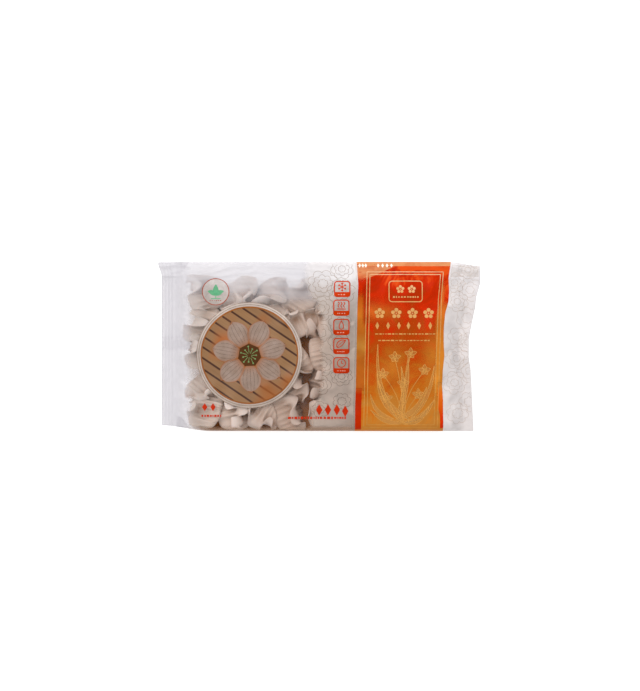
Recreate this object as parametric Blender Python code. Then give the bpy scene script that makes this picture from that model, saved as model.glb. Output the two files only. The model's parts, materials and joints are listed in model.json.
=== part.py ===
"""A sealed film pack of frozen har gow, lying on its back with the printed side up.

The pack is one closed solid, the space that the film shuts in. Its upper sheet is a
film drawn over forty crescent dumplings in eight columns of five. Its underside is
flat and turns up round the edge. At both ends the two sheets meet in a flat seal, and
the side walls are tucked inwards between them. Metres, +Z up. The origin is under the
middle of the pack, on the surface that it lies on.
"""

import math

import bmesh
import bpy
import numpy as np

# The dumplings, which set the size of everything else
COLUMNS = 8
ROWS = 5
COLUMN_PITCH = 0.0356
ROW_PITCH = 0.0316
DUMPLING_HEIGHT = 0.0290
HEIGHT_SPREAD = 0.0030  # the lowest dumpling is this much lower than the highest
CREST_SHARE = 0.47  # half a dumpling's length, as a share of the cell that it crosses
BELLY_SHARE = 0.44  # half a dumpling's width, as a share of the cell that it crosses
CREST_BEND = 0.22  # how far a crest bends off its own line towards both tips, likewise
PLACE_SPREAD = 0.0020  # how far a dumpling may lie off the middle of its cell

# The film round them
HALF_WIDTH = 0.0915
LEFT_END = -0.1733
RIGHT_END = 0.1640
LEFT_SEAL = 0.0155  # width of the flat seal
RIGHT_SEAL = 0.0120
BLOCK_LEFT = -0.1436  # where the first column of dumplings starts
BLOCK_RIGHT = BLOCK_LEFT + COLUMNS * COLUMN_PITCH
BLOCK_FRONT = -0.0862  # where the first row starts, close to the front edge
WAIST = 0.0125  # height of the middle of the side walls and of the end seals
SEALED_HALF = 0.0006  # half the thickness of the sealed ends
WALL_HALF = 0.0040  # half the height of the upright part of a side wall
FOOT_RADIUS = 0.0090  # the turn from the flat underside up to the side walls
FRONT_BULGE = (0.0110, 0.0090)  # reach and rise of the round edge above the front wall
BACK_BULGE = (0.0080, 0.0035)  # the film is slack along the back
TUCK_DEPTH = 0.0120  # how far a side wall is pushed in beside each seal
SLACK = 0.000125  # how far the film sinks between two points of the drape grid
DRAPE_STEP = 0.0030
DRAPE_ROUNDS = 1500

# Pulls on the outline, seen from above
CURL_STATIONS = (-0.092, -0.060, -0.025, -0.012, 0.009, 0.026, 0.044, 0.061, 0.068, 0.092)
CURL_REACH = (0.0007, -0.0004, -0.0025, -0.0047, -0.0047, -0.0015, 0.0029, 0.0035, 0.0082, 0.0085)
CURL_FROM = 0.060  # the right end's curl starts here and is whole at the first seal line
CURL_LIFT = 0.0030
CORNER_REACH = 0.0040  # the back left corner stands out past the seal's edge
CORNER_DEPTH = 0.016
FRONT_EASE = (0.0060, -0.118)  # the front edge draws in by this much, left of this place
BACK_EASE = (0.0042, 0.132)  # the back edge draws in by this much, right of this place
PUCKER_HEIGHT = 0.0010
PUCKER_PITCH = 0.0150

# The mesh: steps across each seal, each slope beside it, the block and the whole width
SEAL_STEPS = 3
SLOPE_STEPS = 6
BLOCK_STEPS = 64
WIDTH_STEPS = 44
LENGTH_STEPS = 2 * SEAL_STEPS + 2 * SLOPE_STEPS + BLOCK_STEPS
BELOW, BETWEEN, ABOVE = 0.0, 0.5, 1.0  # the three layers of points, before they are shaped


def smooth_step(value, start, end):
    """0 before start, 1 after end, and an even turn between."""
    share = np.clip((value - start) / (end - start), 0.0, 1.0)
    return share * share * (3.0 - 2.0 * share)


def quarter_round(distance, reach):
    """0 at the edge, 1 from reach inwards, along a quarter of an ellipse."""
    share = np.clip(distance / reach, 0.0, 1.0)
    return np.sqrt(1.0 - (1.0 - share) ** 2)


def dealt(number, step):
    """An even spread of shares from 0 to 1, dealt out one after the other."""
    return (number * step) % 1.0


def dumplings():
    """Place, direction and height of each dumpling: uneven, but the same each time."""
    for column in range(COLUMNS):
        for row in range(ROWS):
            number = column * ROWS + row + 1
            x = BLOCK_LEFT + (column + 0.5) * COLUMN_PITCH
            y = BLOCK_FRONT + (row + 0.5) * ROW_PITCH
            x += PLACE_SPREAD * (2.0 * dealt(number, 0.754878) - 1.0)
            y += PLACE_SPREAD * (2.0 * dealt(number, 0.569840) - 1.0)
            turn = math.pi * dealt(number, 0.618034)
            yield x, y, turn, DUMPLING_HEIGHT - HEIGHT_SPREAD * dealt(number, 0.414214)


def seal_share(p):
    """1 on both end seals, 0 over the dumplings, and an even slope between."""
    left = 1.0 - smooth_step(p, LEFT_END + LEFT_SEAL, BLOCK_LEFT + 0.003)
    right = smooth_step(p, BLOCK_RIGHT - 0.003, RIGHT_END - RIGHT_SEAL)
    return np.maximum(left, right)


def middle_height(p, q):
    """Height of the middle of the side walls and of the seals. The right end waves."""
    wave = np.sin((q + 0.030) * math.pi / 0.062)
    return WAIST + CURL_LIFT * wave * smooth_step(p, BLOCK_RIGHT, RIGHT_END)


def wall_half(p):
    """Half the height of the side wall, which ends in the sealed sheets' own thickness."""
    return SEALED_HALF + (WALL_HALF - SEALED_HALF) * (1.0 - seal_share(p))


def crest_heights(p, q):
    """Height of the dumplings' tops: each one is a bent ridge that falls to both tips and
    to both sides."""
    tops = np.full(p.shape, -1.0)
    for x, y, turn, height in dumplings():
        dp = (p - x) / COLUMN_PITCH
        dq = (q - y) / ROW_PITCH
        on_crest = np.abs(dp * math.cos(turn) + dq * math.sin(turn)) / CREST_SHARE
        off_line = dq * math.cos(turn) - dp * math.sin(turn)
        off_crest = np.abs(off_line + CREST_BEND * (on_crest**2 - 0.4)) / BELLY_SHARE
        fall = np.clip(1.0 - on_crest**4.0 - off_crest**1.7, 0.0, 1.0)
        tops = np.maximum(tops, np.where(fall > 0.0, height * np.sqrt(fall), -1.0))
    return tops


def drape(under, held, held_height):
    """A slack film on an even grid: each point rests on what is under it, or sinks a little
    below the mean of its four neighbours."""
    film = np.where(held, held_height, DUMPLING_HEIGHT)
    for _ in range(DRAPE_ROUNDS):
        mean = (film[:-2, 1:-1] + film[2:, 1:-1] + film[1:-1, :-2] + film[1:-1, 2:]) / 4.0
        film[1:-1, 1:-1] = np.maximum(mean - SLACK, under[1:-1, 1:-1])
        film[held] = held_height[held]
    return film


def read_grid(values, along, across, p, q):
    """Values of an even grid at any points, by the four grid points round each."""
    i = np.clip((p - along[0]) / (along[1] - along[0]), 0.0, len(along) - 1.001)
    j = np.clip((q - across[0]) / (across[1] - across[0]), 0.0, len(across) - 1.001)
    a, b = i.astype(int), j.astype(int)
    s, t = i - a, j - b
    low = values[a, b] * (1.0 - s) + values[a + 1, b] * s
    high = values[a, b + 1] * (1.0 - s) + values[a + 1, b + 1] * s
    return low * (1.0 - t) + high * t


def upper_sheet(p, q):
    """Height of the printed sheet: draped on an even grid, read at the mesh's points."""
    along = np.linspace(LEFT_END, RIGHT_END, round((RIGHT_END - LEFT_END) / DRAPE_STEP) + 1)
    across = np.linspace(-HALF_WIDTH, HALF_WIDTH, round(2.0 * HALF_WIDTH / DRAPE_STEP) + 1)
    gp, gq = np.meshgrid(along, across, indexing="ij")
    rim = middle_height(gp, gq) + wall_half(gp)
    reach = np.where(gq < 0.0, FRONT_BULGE[0], BACK_BULGE[0])
    rise = np.where(gq < 0.0, FRONT_BULGE[1], BACK_BULGE[1])
    edge = HALF_WIDTH - np.abs(gq)
    round_edge = rim + rise * quarter_round(edge, reach) * (1.0 - seal_share(gp))
    under = np.maximum(crest_heights(gp, gq), np.where(edge < reach, round_edge, -1.0))
    on_seal = (gp <= LEFT_END + LEFT_SEAL) | (gp >= RIGHT_END - RIGHT_SEAL)
    film = drape(under, on_seal | (edge < 1e-9), rim)
    height = read_grid(film, along, across, p, q)

    slope = 4.0 * seal_share(p) * (1.0 - seal_share(p))
    pucker = np.sin(q * 2.0 * math.pi / PUCKER_PITCH + 9.0 * p / COLUMN_PITCH)
    return height + PUCKER_HEIGHT * pucker * slope * quarter_round(HALF_WIDTH - np.abs(q), 0.02)


def under_sheet(p, q):
    """Height of the underside: flat on the surface, and turned up to the walls all round."""
    side = 1.0 - quarter_round(HALF_WIDTH - np.abs(q), FOOT_RADIUS)
    rise = 1.0 - (1.0 - side) * (1.0 - seal_share(p))
    return (middle_height(p, q) - wall_half(p)) * rise


def tuck_depth(p):
    """How far the wall is pushed in: most of it between the block and each seal."""
    left = smooth_step(-p, -BLOCK_LEFT - 0.002, -(LEFT_END + LEFT_SEAL) - 0.004)
    left *= smooth_step(p, LEFT_END + LEFT_SEAL, LEFT_END + LEFT_SEAL + 0.002)
    right = smooth_step(p, BLOCK_RIGHT - 0.002, RIGHT_END - RIGHT_SEAL - 0.004)
    right *= smooth_step(-p, -(RIGHT_END - RIGHT_SEAL), -(RIGHT_END - RIGHT_SEAL) + 0.002)
    return TUCK_DEPTH * (left + right)


def outline(p, q):
    """Plan view of a point of the flat film, pulled at the right end and at two corners."""
    curl = np.interp(q, CURL_STATIONS, CURL_REACH) * smooth_step(p, CURL_FROM, BLOCK_RIGHT)
    corner = smooth_step(q, HALF_WIDTH - CORNER_DEPTH, HALF_WIDTH)
    pulled = CORNER_REACH * corner * (1.0 - smooth_step(p, LEFT_END, BLOCK_LEFT))
    front = FRONT_EASE[0] * smooth_step(-p, -FRONT_EASE[1], -LEFT_END) * np.clip(-q, 0.0, None)
    back = BACK_EASE[0] * smooth_step(p, BACK_EASE[1], RIGHT_END) * np.clip(q, 0.0, None)
    return p + curl - pulled, q + (front - back) / HALF_WIDTH


def lines_along():
    """Distances along the pack, closer together on the slopes beside the seals."""
    seal_left = LEFT_END + LEFT_SEAL
    seal_right = RIGHT_END - RIGHT_SEAL
    runs = (
        np.linspace(LEFT_END, seal_left, SEAL_STEPS, endpoint=False),
        np.linspace(seal_left, BLOCK_LEFT, SLOPE_STEPS, endpoint=False),
        np.linspace(BLOCK_LEFT, BLOCK_RIGHT, BLOCK_STEPS, endpoint=False),
        np.linspace(BLOCK_RIGHT, seal_right, SLOPE_STEPS, endpoint=False),
        np.linspace(seal_right, RIGHT_END, SEAL_STEPS + 1),
    )
    return np.concatenate(runs)


def lines_across():
    """Distances across the pack, closer together near the two long sides."""
    turn = np.linspace(-1.0, 1.0, WIDTH_STEPS + 1)
    return HALF_WIDTH * (0.45 * turn + 0.55 * np.sin(turn * math.pi / 2.0))


def two_sheets():
    """A grid and its copy above it, joined round the edge by a wall of two bands."""
    mesh = bmesh.new()
    bmesh.ops.create_grid(mesh, x_segments=LENGTH_STEPS, y_segments=WIDTH_STEPS, size=1.0)
    made = bmesh.ops.extrude_face_region(mesh, geom=mesh.faces[:])
    for vertex in made["geom"]:
        if isinstance(vertex, bmesh.types.BMVert):
            vertex.co.z = ABOVE
    upright = [e for e in mesh.edges if abs(e.verts[0].co.z - e.verts[1].co.z) > BETWEEN]
    bmesh.ops.subdivide_edges(mesh, edges=upright, cuts=1, use_grid_fill=True)
    bmesh.ops.recalc_face_normals(mesh, faces=mesh.faces)
    return mesh


def shape_sheets(mesh):
    """Moves the grid points to the underside, the middle of the walls and the upper sheet."""
    p, q = np.meshgrid(lines_along(), lines_across(), indexing="ij")
    tucked = q * (1.0 - tuck_depth(p) / HALF_WIDTH)
    layers = {
        BELOW: (*outline(p, q), under_sheet(p, q)),
        BETWEEN: (*outline(p, tucked), middle_height(p, q)),
        ABOVE: (*outline(p, q), upper_sheet(p, q)),
    }
    for vertex in mesh.verts:
        i = round((vertex.co.x + 1.0) / 2.0 * LENGTH_STEPS)
        j = round((vertex.co.y + 1.0) / 2.0 * WIDTH_STEPS)
        x, y, z = layers[round(vertex.co.z * 2.0) / 2.0]
        vertex.co = (x[i, j], y[i, j], z[i, j])


def rest_flat(mesh):
    """Joins the faces of the underside that lie on the surface into one flat face."""
    flat = [face for face in mesh.faces if all(v.co.z < 1e-7 for v in face.verts)]
    bmesh.ops.dissolve_faces(mesh, faces=flat)


def stand_in_the_middle(mesh):
    """Puts the origin under the middle of the pack's box."""
    for axis in (0, 1):
        places = [vertex.co[axis] for vertex in mesh.verts]
        middle = (min(places) + max(places)) / 2.0
        for vertex in mesh.verts:
            vertex.co[axis] -= middle


def film_material():
    """Clear glossy film with pale food behind it."""
    material = bpy.data.materials.new("film_over_har_gow")
    material.use_nodes = True
    shader = material.node_tree.nodes["Principled BSDF"]
    shader.inputs["Base Color"].default_value = (0.62, 0.53, 0.47, 1.0)
    shader.inputs["Roughness"].default_value = 0.25
    shader.inputs["Metallic"].default_value = 0.0
    return material


def main():
    for thing in list(bpy.data.objects):
        bpy.data.objects.remove(thing)
    collection = bpy.data.collections.new("har_gow_pack")
    bpy.context.scene.collection.children.link(collection)

    mesh = two_sheets()
    shape_sheets(mesh)
    rest_flat(mesh)
    stand_in_the_middle(mesh)
    data = bpy.data.meshes.new("sealed_pack")
    mesh.to_mesh(data)
    mesh.free()
    data.materials.append(film_material())
    pack = bpy.data.objects.new("sealed_pack", data)
    collection.objects.link(pack)
    data.shade_smooth()
    data.set_sharp_from_angle(angle=math.radians(40.0))


main()
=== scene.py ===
"""Looks of a sealed film pack of frozen har gow, lying on its back under the camera.

The film, the print and the dumplings are surfaces of two parameters. Film and print are
laid out flat first: p runs along the pack and q across it, in metres. The film's height
is found by draping it over the dumplings, and `laid` then pulls everything into the
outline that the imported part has.
"""
import json
import math

import bpy
import numpy as np
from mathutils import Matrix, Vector

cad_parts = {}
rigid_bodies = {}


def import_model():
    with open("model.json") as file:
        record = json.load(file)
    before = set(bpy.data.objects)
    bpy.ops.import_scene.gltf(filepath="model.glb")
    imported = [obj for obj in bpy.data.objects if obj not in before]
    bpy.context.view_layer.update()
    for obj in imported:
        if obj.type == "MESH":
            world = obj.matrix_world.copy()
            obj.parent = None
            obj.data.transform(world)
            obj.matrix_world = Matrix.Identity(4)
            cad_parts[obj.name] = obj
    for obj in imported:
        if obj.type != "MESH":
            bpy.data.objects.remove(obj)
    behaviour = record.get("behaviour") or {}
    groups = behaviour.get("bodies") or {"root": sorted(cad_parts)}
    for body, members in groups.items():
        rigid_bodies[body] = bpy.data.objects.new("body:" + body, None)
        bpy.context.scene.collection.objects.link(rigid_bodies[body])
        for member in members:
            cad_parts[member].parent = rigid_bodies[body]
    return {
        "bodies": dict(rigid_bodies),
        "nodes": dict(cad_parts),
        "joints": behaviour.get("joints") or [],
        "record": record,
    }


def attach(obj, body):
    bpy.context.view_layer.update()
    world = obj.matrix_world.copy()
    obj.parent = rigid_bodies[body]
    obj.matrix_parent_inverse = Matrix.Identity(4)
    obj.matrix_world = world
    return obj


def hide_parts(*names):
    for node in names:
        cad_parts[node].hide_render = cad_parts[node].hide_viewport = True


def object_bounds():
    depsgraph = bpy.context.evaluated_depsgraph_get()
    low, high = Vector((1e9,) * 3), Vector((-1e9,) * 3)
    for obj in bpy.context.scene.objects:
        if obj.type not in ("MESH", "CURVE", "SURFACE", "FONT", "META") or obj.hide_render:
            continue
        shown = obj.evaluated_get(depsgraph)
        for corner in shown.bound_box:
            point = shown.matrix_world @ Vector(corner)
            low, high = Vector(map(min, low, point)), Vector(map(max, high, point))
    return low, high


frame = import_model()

CAD_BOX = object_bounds()

# The dumplings
COLUMNS = 8
ROWS = 5
COLUMN_PITCH = 0.0356
ROW_PITCH = 0.0316
DUMPLING_HEIGHT = 0.0281
HEIGHT_SPREAD = 0.0030
PLACE_SPREAD = 0.0020
MOST_ROLL = 72.0  # how far a dumpling rolls over to one side, and how far one tip dips, in degrees
MOST_DIP = 17.0
TURN_DEAL, HEIGHT_DEAL, ALONG_DEAL, ACROSS_DEAL = 0.618034, 0.414214, 0.754878, 0.569840  # for `dealt`
LEAST_SPAN = 1.22  # a dumpling's least length and width, in places of the block
MOST_REACH = 0.70  # how far it reaches at most from its middle, in the same
SHOVES = {  # how far dumplings have slid from their places, by column and row, in mm, and turned, in degrees
    (0, 0): (-1.0, 0.7, 120), (0, 1): (-1.5, 0.0, 0), (0, 2): (-1.0, 0.0, 90), (0, 3): (-1.5, 0.0, 0),
    (0, 4): (-1.0, 1.0, 90), (1, 0): (-6.0, 0.0, 0), (1, 4): (0.0, 1.0, 0), (2, 0): (-13.0, 0.0, 0),
    (2, 1): (-6.0, 0.0, 0), (2, 4): (-1.0, 1.0, 0), (3, 0): (-17.5, 0.0, -15), (3, 1): (-17.0, -3.0, 38),
    (3, 2): (-11.0, -1.0, -90), (3, 3): (-4.0, 0.0, 90), (3, 4): (-2.0, 0.0, 0), (4, 0): (-10.5, 0.0, -12),
    (4, 1): (-11.0, 1.5, 0), (4, 2): (-9.0, -1.0, -90), (4, 3): (-10.0, 0.0, 30), (4, 4): (-4.0, -1.0, 0),
    (5, 0): (-5.0, 0.0, 0), (5, 1): (-7.0, 0.0, 0), (5, 2): (-4.0, 0.0, 0), (5, 3): (-3.0, 0.0, 0),
}
AROUND = 38  # points round a dumpling
RINGS = 64  # rings along a dumpling
NECK = 0.60  # where the belly ends and the flap of the seam begins

# The film laid flat
HALF_WIDTH = 0.0915
LEFT_END = -0.1733
RIGHT_END = 0.1640
LEFT_SEAL = 0.0155
RIGHT_SEAL = 0.0120
BLOCK_LEFT = -0.1436  # where the block of dumplings begins and ends
BLOCK_RIGHT = BLOCK_LEFT + COLUMNS * COLUMN_PITCH
BLOCK_FRONT = -0.0862
WAIST = 0.0125  # height of the middle of the side walls
SEALED_HALF = 0.0003
WALL_HALF = 0.0040
FOOT_RADIUS = 0.0090
FRONT_BULGE = (0.0110, 0.0090)  # how far in the round front edge reaches, and how far up
BACK_BULGE = (0.0080, 0.0035)
TUCK_DEPTH = 0.0120
BACK_FILM = 0.0005  # the back film's height over the surface, where its seam lies under it

# How the drape is worked out
DRAPE_STEP = 0.0012
DRAPE_ROUNDS = (1400, 260)  # on a grid of twice the step, then on the grid itself
FILM_CLEARANCE = 0.0005
STIFF_ROUNDS = 5  # each one takes a little off the film's sharpest bends
SAG = 16.0  # the sum of the film's two curvatures where nothing holds it up, per metre

# Pulls on the outline
CURL_STATIONS = (-0.092, -0.060, -0.025, -0.012, 0.009, 0.026, 0.044, 0.057, 0.072, 0.092)
CURL_REACH = (0.0007, -0.0004, -0.0025, -0.0047, -0.0047, -0.0015, 0.0025, 0.0042, 0.0082, 0.0085)
CURL_FROM = 0.095
CURL_LIFT = 0.0030
CORNER_REACH = 0.0040  # how far the back corner at the left sticks out
CORNER_DEPTH = 0.016
FRONT_EASE = (0.0060, -0.118)  # how far the front edge is drawn in at the left, and from where
BACK_EASE = (0.0042, 0.132)  # the same for the back edge at the right

# Small folds
PUCKER_HEIGHT = 0.0005
PUCKER_PITCH = 0.0150
SEAL_RIB = 0.00010
SEAL_RIB_PITCH = 0.0035
FOLD_HEIGHT = 0.00055
FOLD_PITCH = 0.0085
TUCK_FOLD = 0.0010
CRUMPLE_RIGHT = 0.0010
CRUMPLE_LEFT = 0.0005

# How milky the film looks where it is tight on a dumpling, loose, on the walls, sealed, at its long seam
HAZE_TIGHT = 0.012
HAZE_LOOSE = 0.50
HAZE_WALL = 0.14
HAZE_SEALED = 0.70
HAZE_SEAM = 0.06

# How finely the skin is divided
FILM_STEPS = (28, 12, 190, 12, 22)  # on the left seal, the slope, the block, the slope, the right seal
FILM_ACROSS = 145
WALL_STEPS = 8


# ---------------------------------------------------------------- numbers and surfaces


def smooth_step(value, start, end):
    """0 before start, 1 after end, and an even turn between."""
    share = np.clip((value - start) / (end - start), 0.0, 1.0)
    return share * share * (3.0 - 2.0 * share)


def quarter_round(distance, reach):
    """0 at the edge, 1 from reach inwards, along a quarter of an ellipse."""
    share = np.clip(distance / reach, 0.0, 1.0)
    return np.sqrt(1.0 - (1.0 - share) ** 2)


def dealt(number, step):
    """An even spread of shares from 0 to 1, dealt out one after the other."""
    return (number * step) % 1.0


def soft_noise(x, y, cell, seed):
    """Values from -1 to 1: random at the corners of square cells, joined by even turns."""
    table = np.random.default_rng(seed).uniform(-1.0, 1.0, (64, 64))
    i, j = np.floor(x / cell), np.floor(y / cell)
    s, t = x / cell - i, y / cell - j
    s, t = s * s * (3.0 - 2.0 * s), t * t * (3.0 - 2.0 * t)
    a, b = i.astype(int) % 64, j.astype(int) % 64
    c, d = (a + 1) % 64, (b + 1) % 64
    low = table[a, b] * (1.0 - s) + table[c, b] * s
    high = table[a, d] * (1.0 - s) + table[c, d] * s
    return low * (1.0 - t) + high * t


def grid_faces(rows, columns, closed_columns=False):
    """Quads of a grid of points numbered row by row. Closed columns join last to first."""
    j = np.arange(columns if closed_columns else columns - 1)
    i, j = (a.ravel() for a in np.meshgrid(np.arange(rows - 1), j, indexing="ij"))
    k, m = i + 1, (j + 1) % columns
    return np.stack([i * columns + j, k * columns + j, k * columns + m, i * columns + m], 1)


def make_piece(name, points, faces, material, marks):
    """One smooth mesh object that rides on the pack. marks are named values of the points."""
    mesh = bpy.data.meshes.new(name)
    mesh.from_pydata(points.reshape(-1, 3).tolist(), [], faces)
    for mark, values in (marks or {}).items():
        layer = mesh.attributes.new(mark, "FLOAT", "POINT")
        layer.data.foreach_set("value", np.ascontiguousarray(values, np.float32).ravel())
    mesh.materials.append(material)
    mesh.shade_smooth()
    piece = bpy.data.objects.new(name, mesh)
    bpy.context.scene.collection.objects.link(piece)
    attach(piece, "root")
    return piece


# ---------------------------------------------------------------- the film's outline


def seal_share(p):
    """1 on both end seals, 0 over the dumplings, and an even slope between."""
    left = 1.0 - smooth_step(p, LEFT_END + LEFT_SEAL, BLOCK_LEFT + 0.003)
    right = smooth_step(p, BLOCK_RIGHT - 0.003, RIGHT_END - RIGHT_SEAL)
    return np.maximum(left, right)


def middle_height(p, q):
    """Height of the middle of the side walls and of the seals. The right end waves."""
    wave = np.sin((q + 0.030) * math.pi / 0.062)
    return WAIST + CURL_LIFT * wave * smooth_step(p, BLOCK_RIGHT, RIGHT_END)


def wall_half(p):
    """Half the height of the side wall, which ends in the sealed sheets' own thickness."""
    return SEALED_HALF + (WALL_HALF - SEALED_HALF) * (1.0 - seal_share(p))


def tuck_depth(p):
    """How far the wall is pushed in: most of it between the block and each seal."""
    left = smooth_step(-p, -BLOCK_LEFT - 0.002, -(LEFT_END + LEFT_SEAL) - 0.004)
    left *= smooth_step(p, LEFT_END + LEFT_SEAL, LEFT_END + LEFT_SEAL + 0.002)
    right = smooth_step(p, BLOCK_RIGHT - 0.002, RIGHT_END - RIGHT_SEAL - 0.004)
    right *= smooth_step(-p, -(RIGHT_END - RIGHT_SEAL), -(RIGHT_END - RIGHT_SEAL) + 0.002)
    return TUCK_DEPTH * (left + right)


def outline(p, q):
    """Plan view of a point of the flat film, pulled at the right end and at two corners."""
    curl = np.interp(q, CURL_STATIONS, CURL_REACH) * smooth_step(p, CURL_FROM, RIGHT_END)
    corner = smooth_step(q, HALF_WIDTH - CORNER_DEPTH, HALF_WIDTH)
    pulled = CORNER_REACH * corner * (1.0 - smooth_step(p, LEFT_END, BLOCK_LEFT))
    front = FRONT_EASE[0] * smooth_step(-p, -FRONT_EASE[1], -LEFT_END) * np.clip(-q, 0.0, None)
    back = BACK_EASE[0] * smooth_step(p, BACK_EASE[1], RIGHT_END) * np.clip(q, 0.0, None)
    return p + curl - pulled, q + (front - back) / HALF_WIDTH


def laid(p, q, z):
    """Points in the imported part's frame, from places on the flat film and heights."""
    x, y = outline(p, q)
    left = CAD_BOX[0][0] - (LEFT_END - CORNER_REACH)
    return np.stack([x + left, y, np.broadcast_to(z, x.shape)], axis=-1)


# ---------------------------------------------------------------- the dumplings


def turned(points, axis, angle):
    """Points of each dumpling turned about one axis by its own angle."""
    cosine, sine = np.cos(angle)[:, None, None], np.sin(angle)[:, None, None]
    b, c = (axis + 1) % 3, (axis + 2) % 3
    result = points.copy()
    result[..., b] = cosine * points[..., b] - sine * points[..., c]
    result[..., c] = sine * points[..., b] + cosine * points[..., c]
    return result


def har_gow_shapes(count, rng):
    """Pleated crescents, one for each number: s runs from tip to tip and h up the section.

    Up to the neck the section is a drop: its half width is the belly's times a sine of h.
    Above the neck it is a thin flap with a thicker rim, and the two join by the cube root
    of the sum of their cubes. The flap is a ruffle: along s it leans to one side and to the
    other by a sine, and slides along by a sine twice as quick, so that each fold is an open
    loop. Under a fold the belly is hollow, and on the other side it swells up into the
    fold. Short fine pleats run down from the neck. The centre line bends to one side with s
    squared, the neck sinks and the foot rises towards the tips, and both tips are pinched.
    Dents are round hollows at random places, and low bumps are products of two sines.
    Returns the points, and two marks: how deep in a crease each one lies, which the dough
    turns browner as painted shade, and how near the rim.
    """
    s = np.linspace(-1.0, 1.0, RINGS + 1)[None, :, None]
    turn = 2.0 * math.pi * np.arange(AROUND)[None, None, :] / AROUND
    h = (1.0 - np.cos(turn)) / 2.0
    side = np.sign(np.sin(turn) + 1e-9)

    def draw(low, high):
        return rng.uniform(low, high, count)[:, None, None]

    half_length = draw(0.0205, 0.0240)
    belly = draw(0.0142, 0.0168)
    neck_height = draw(0.0150, 0.0190)
    flap = draw(0.0085, 0.0130)
    bend = draw(0.0020, 0.0075)
    waves = draw(0.75, 1.25)
    phase = draw(0.0, 1.0)
    uneven = draw(0.08, 0.20)
    lean = draw(-0.45, 0.45)
    fold = draw(0.75, 1.15)
    loop = draw(0.0014, 0.0028)
    fine = draw(2.8, 4.6)
    tip_rise = draw(0.002, 0.009)
    tip_drop = draw(0.25, 0.50)

    along = np.abs(s)
    closing = np.sqrt(np.clip(1.0 - along**12, 0.0, 1.0))
    plump = np.clip(1.0 - along**2.3, 0.0, 1.0) ** 0.62
    low_part = np.clip(h / NECK, 0.0, 1.0)
    high_part = np.clip((h - NECK) / (1.0 - NECK), 0.0, 1.0)
    drop = np.clip(np.sin(math.pi * low_part**0.80), 0.0, 1.0) ** 0.72 * (1.0 - 0.22 * low_part)

    swing = 2.0 * math.pi * (waves * (s + uneven * np.sin(3.0 * s + 6.28 * phase)) + phase)
    wave = np.sin(swing) + 0.22 * np.sin(2.0 * swing + 1.3) * (1.0 - 0.5 * np.cos(swing / 2.0))
    pleat = 1.0 - np.abs(np.sin(math.pi * (fine * s + phase + 0.35 * np.sin(swing / 2.0))))
    angle = (lean + fold * wave) * (1.0 - along**8) * high_part**0.75

    thickness = 0.00105 + 0.00060 * smooth_step(high_part, 0.35, 0.95)
    thin = thickness * np.sqrt(np.clip((1.0 - h) / 0.045, 0.0, 1.0))
    half = ((belly * plump * drop) ** 3 + thin**3) ** (1.0 / 3.0)
    half -= 0.0036 * side * wave * smooth_step(h, 0.10, NECK) * plump * (1.0 - high_part) ** 0.7
    half += 0.0027 * (pleat - 0.45) * np.exp(-(((h - NECK + 0.10) / 0.24) ** 2)) * plump**0.5
    for _ in range(3):
        middle, level = draw(-0.7, 0.7), draw(0.1, 0.5)
        facing, wide = np.sign(draw(-1.0, 1.0)), draw(0.20, 0.38)
        hollow = np.exp(-(((s - middle) / wide) ** 2) - ((h - level) / (0.7 * wide)) ** 2)
        half -= draw(0.0006, 0.0026) * hollow * (side == facing) * plump
    for _ in range(2):
        bumps = np.sin(draw(5.0, 11.0) * s + draw(0.0, 6.28))
        bumps = bumps * np.sin(draw(5.0, 12.0) * h + side * draw(0.5, 2.0))
        half += 0.00045 * bumps * plump * smooth_step(1.0 - high_part, 0.2, 1.0)
    half = np.maximum(half, 0.5 * thin)

    neck = neck_height * (1.0 - tip_drop * along**2.4)
    reach = flap * (1.0 - 0.40 * along**3 + 0.10 * np.sin(swing / 2.0)) * high_part
    foot = tip_rise * along**3.0
    slide = loop * np.sin(2.0 * swing) * high_part * (1.0 - along**4)
    x = half_length * s * (1.0 + 0.12 * high_part) - slide
    y = side * half * np.cos(angle) * closing + reach * np.sin(angle) + bend * (s * s - 0.35)
    z = foot + (neck - foot) * low_part + reach * np.cos(angle) - side * half * np.sin(angle)
    level = (foot + neck) / 2.0
    z = level + (z - level) * closing
    in_fold = 0.5 + 0.5 * side * wave
    # Under a leaning flap and in the pleats' troughs: the dough is painted darker there, as painted shade.
    crease = (0.75 * in_fold + 0.35 * (1.0 - pleat)) * np.exp(-(((h - NECK - 0.02) / 0.13) ** 2))
    points = np.stack(np.broadcast_arrays(x, y, z), axis=-1)
    rim = smooth_step(high_part, 0.10, 0.95)
    marks = [np.broadcast_to(np.clip(mark, 0.0, 1.0), points.shape[:3]) for mark in (crease, rim)]
    return points, marks


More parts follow.
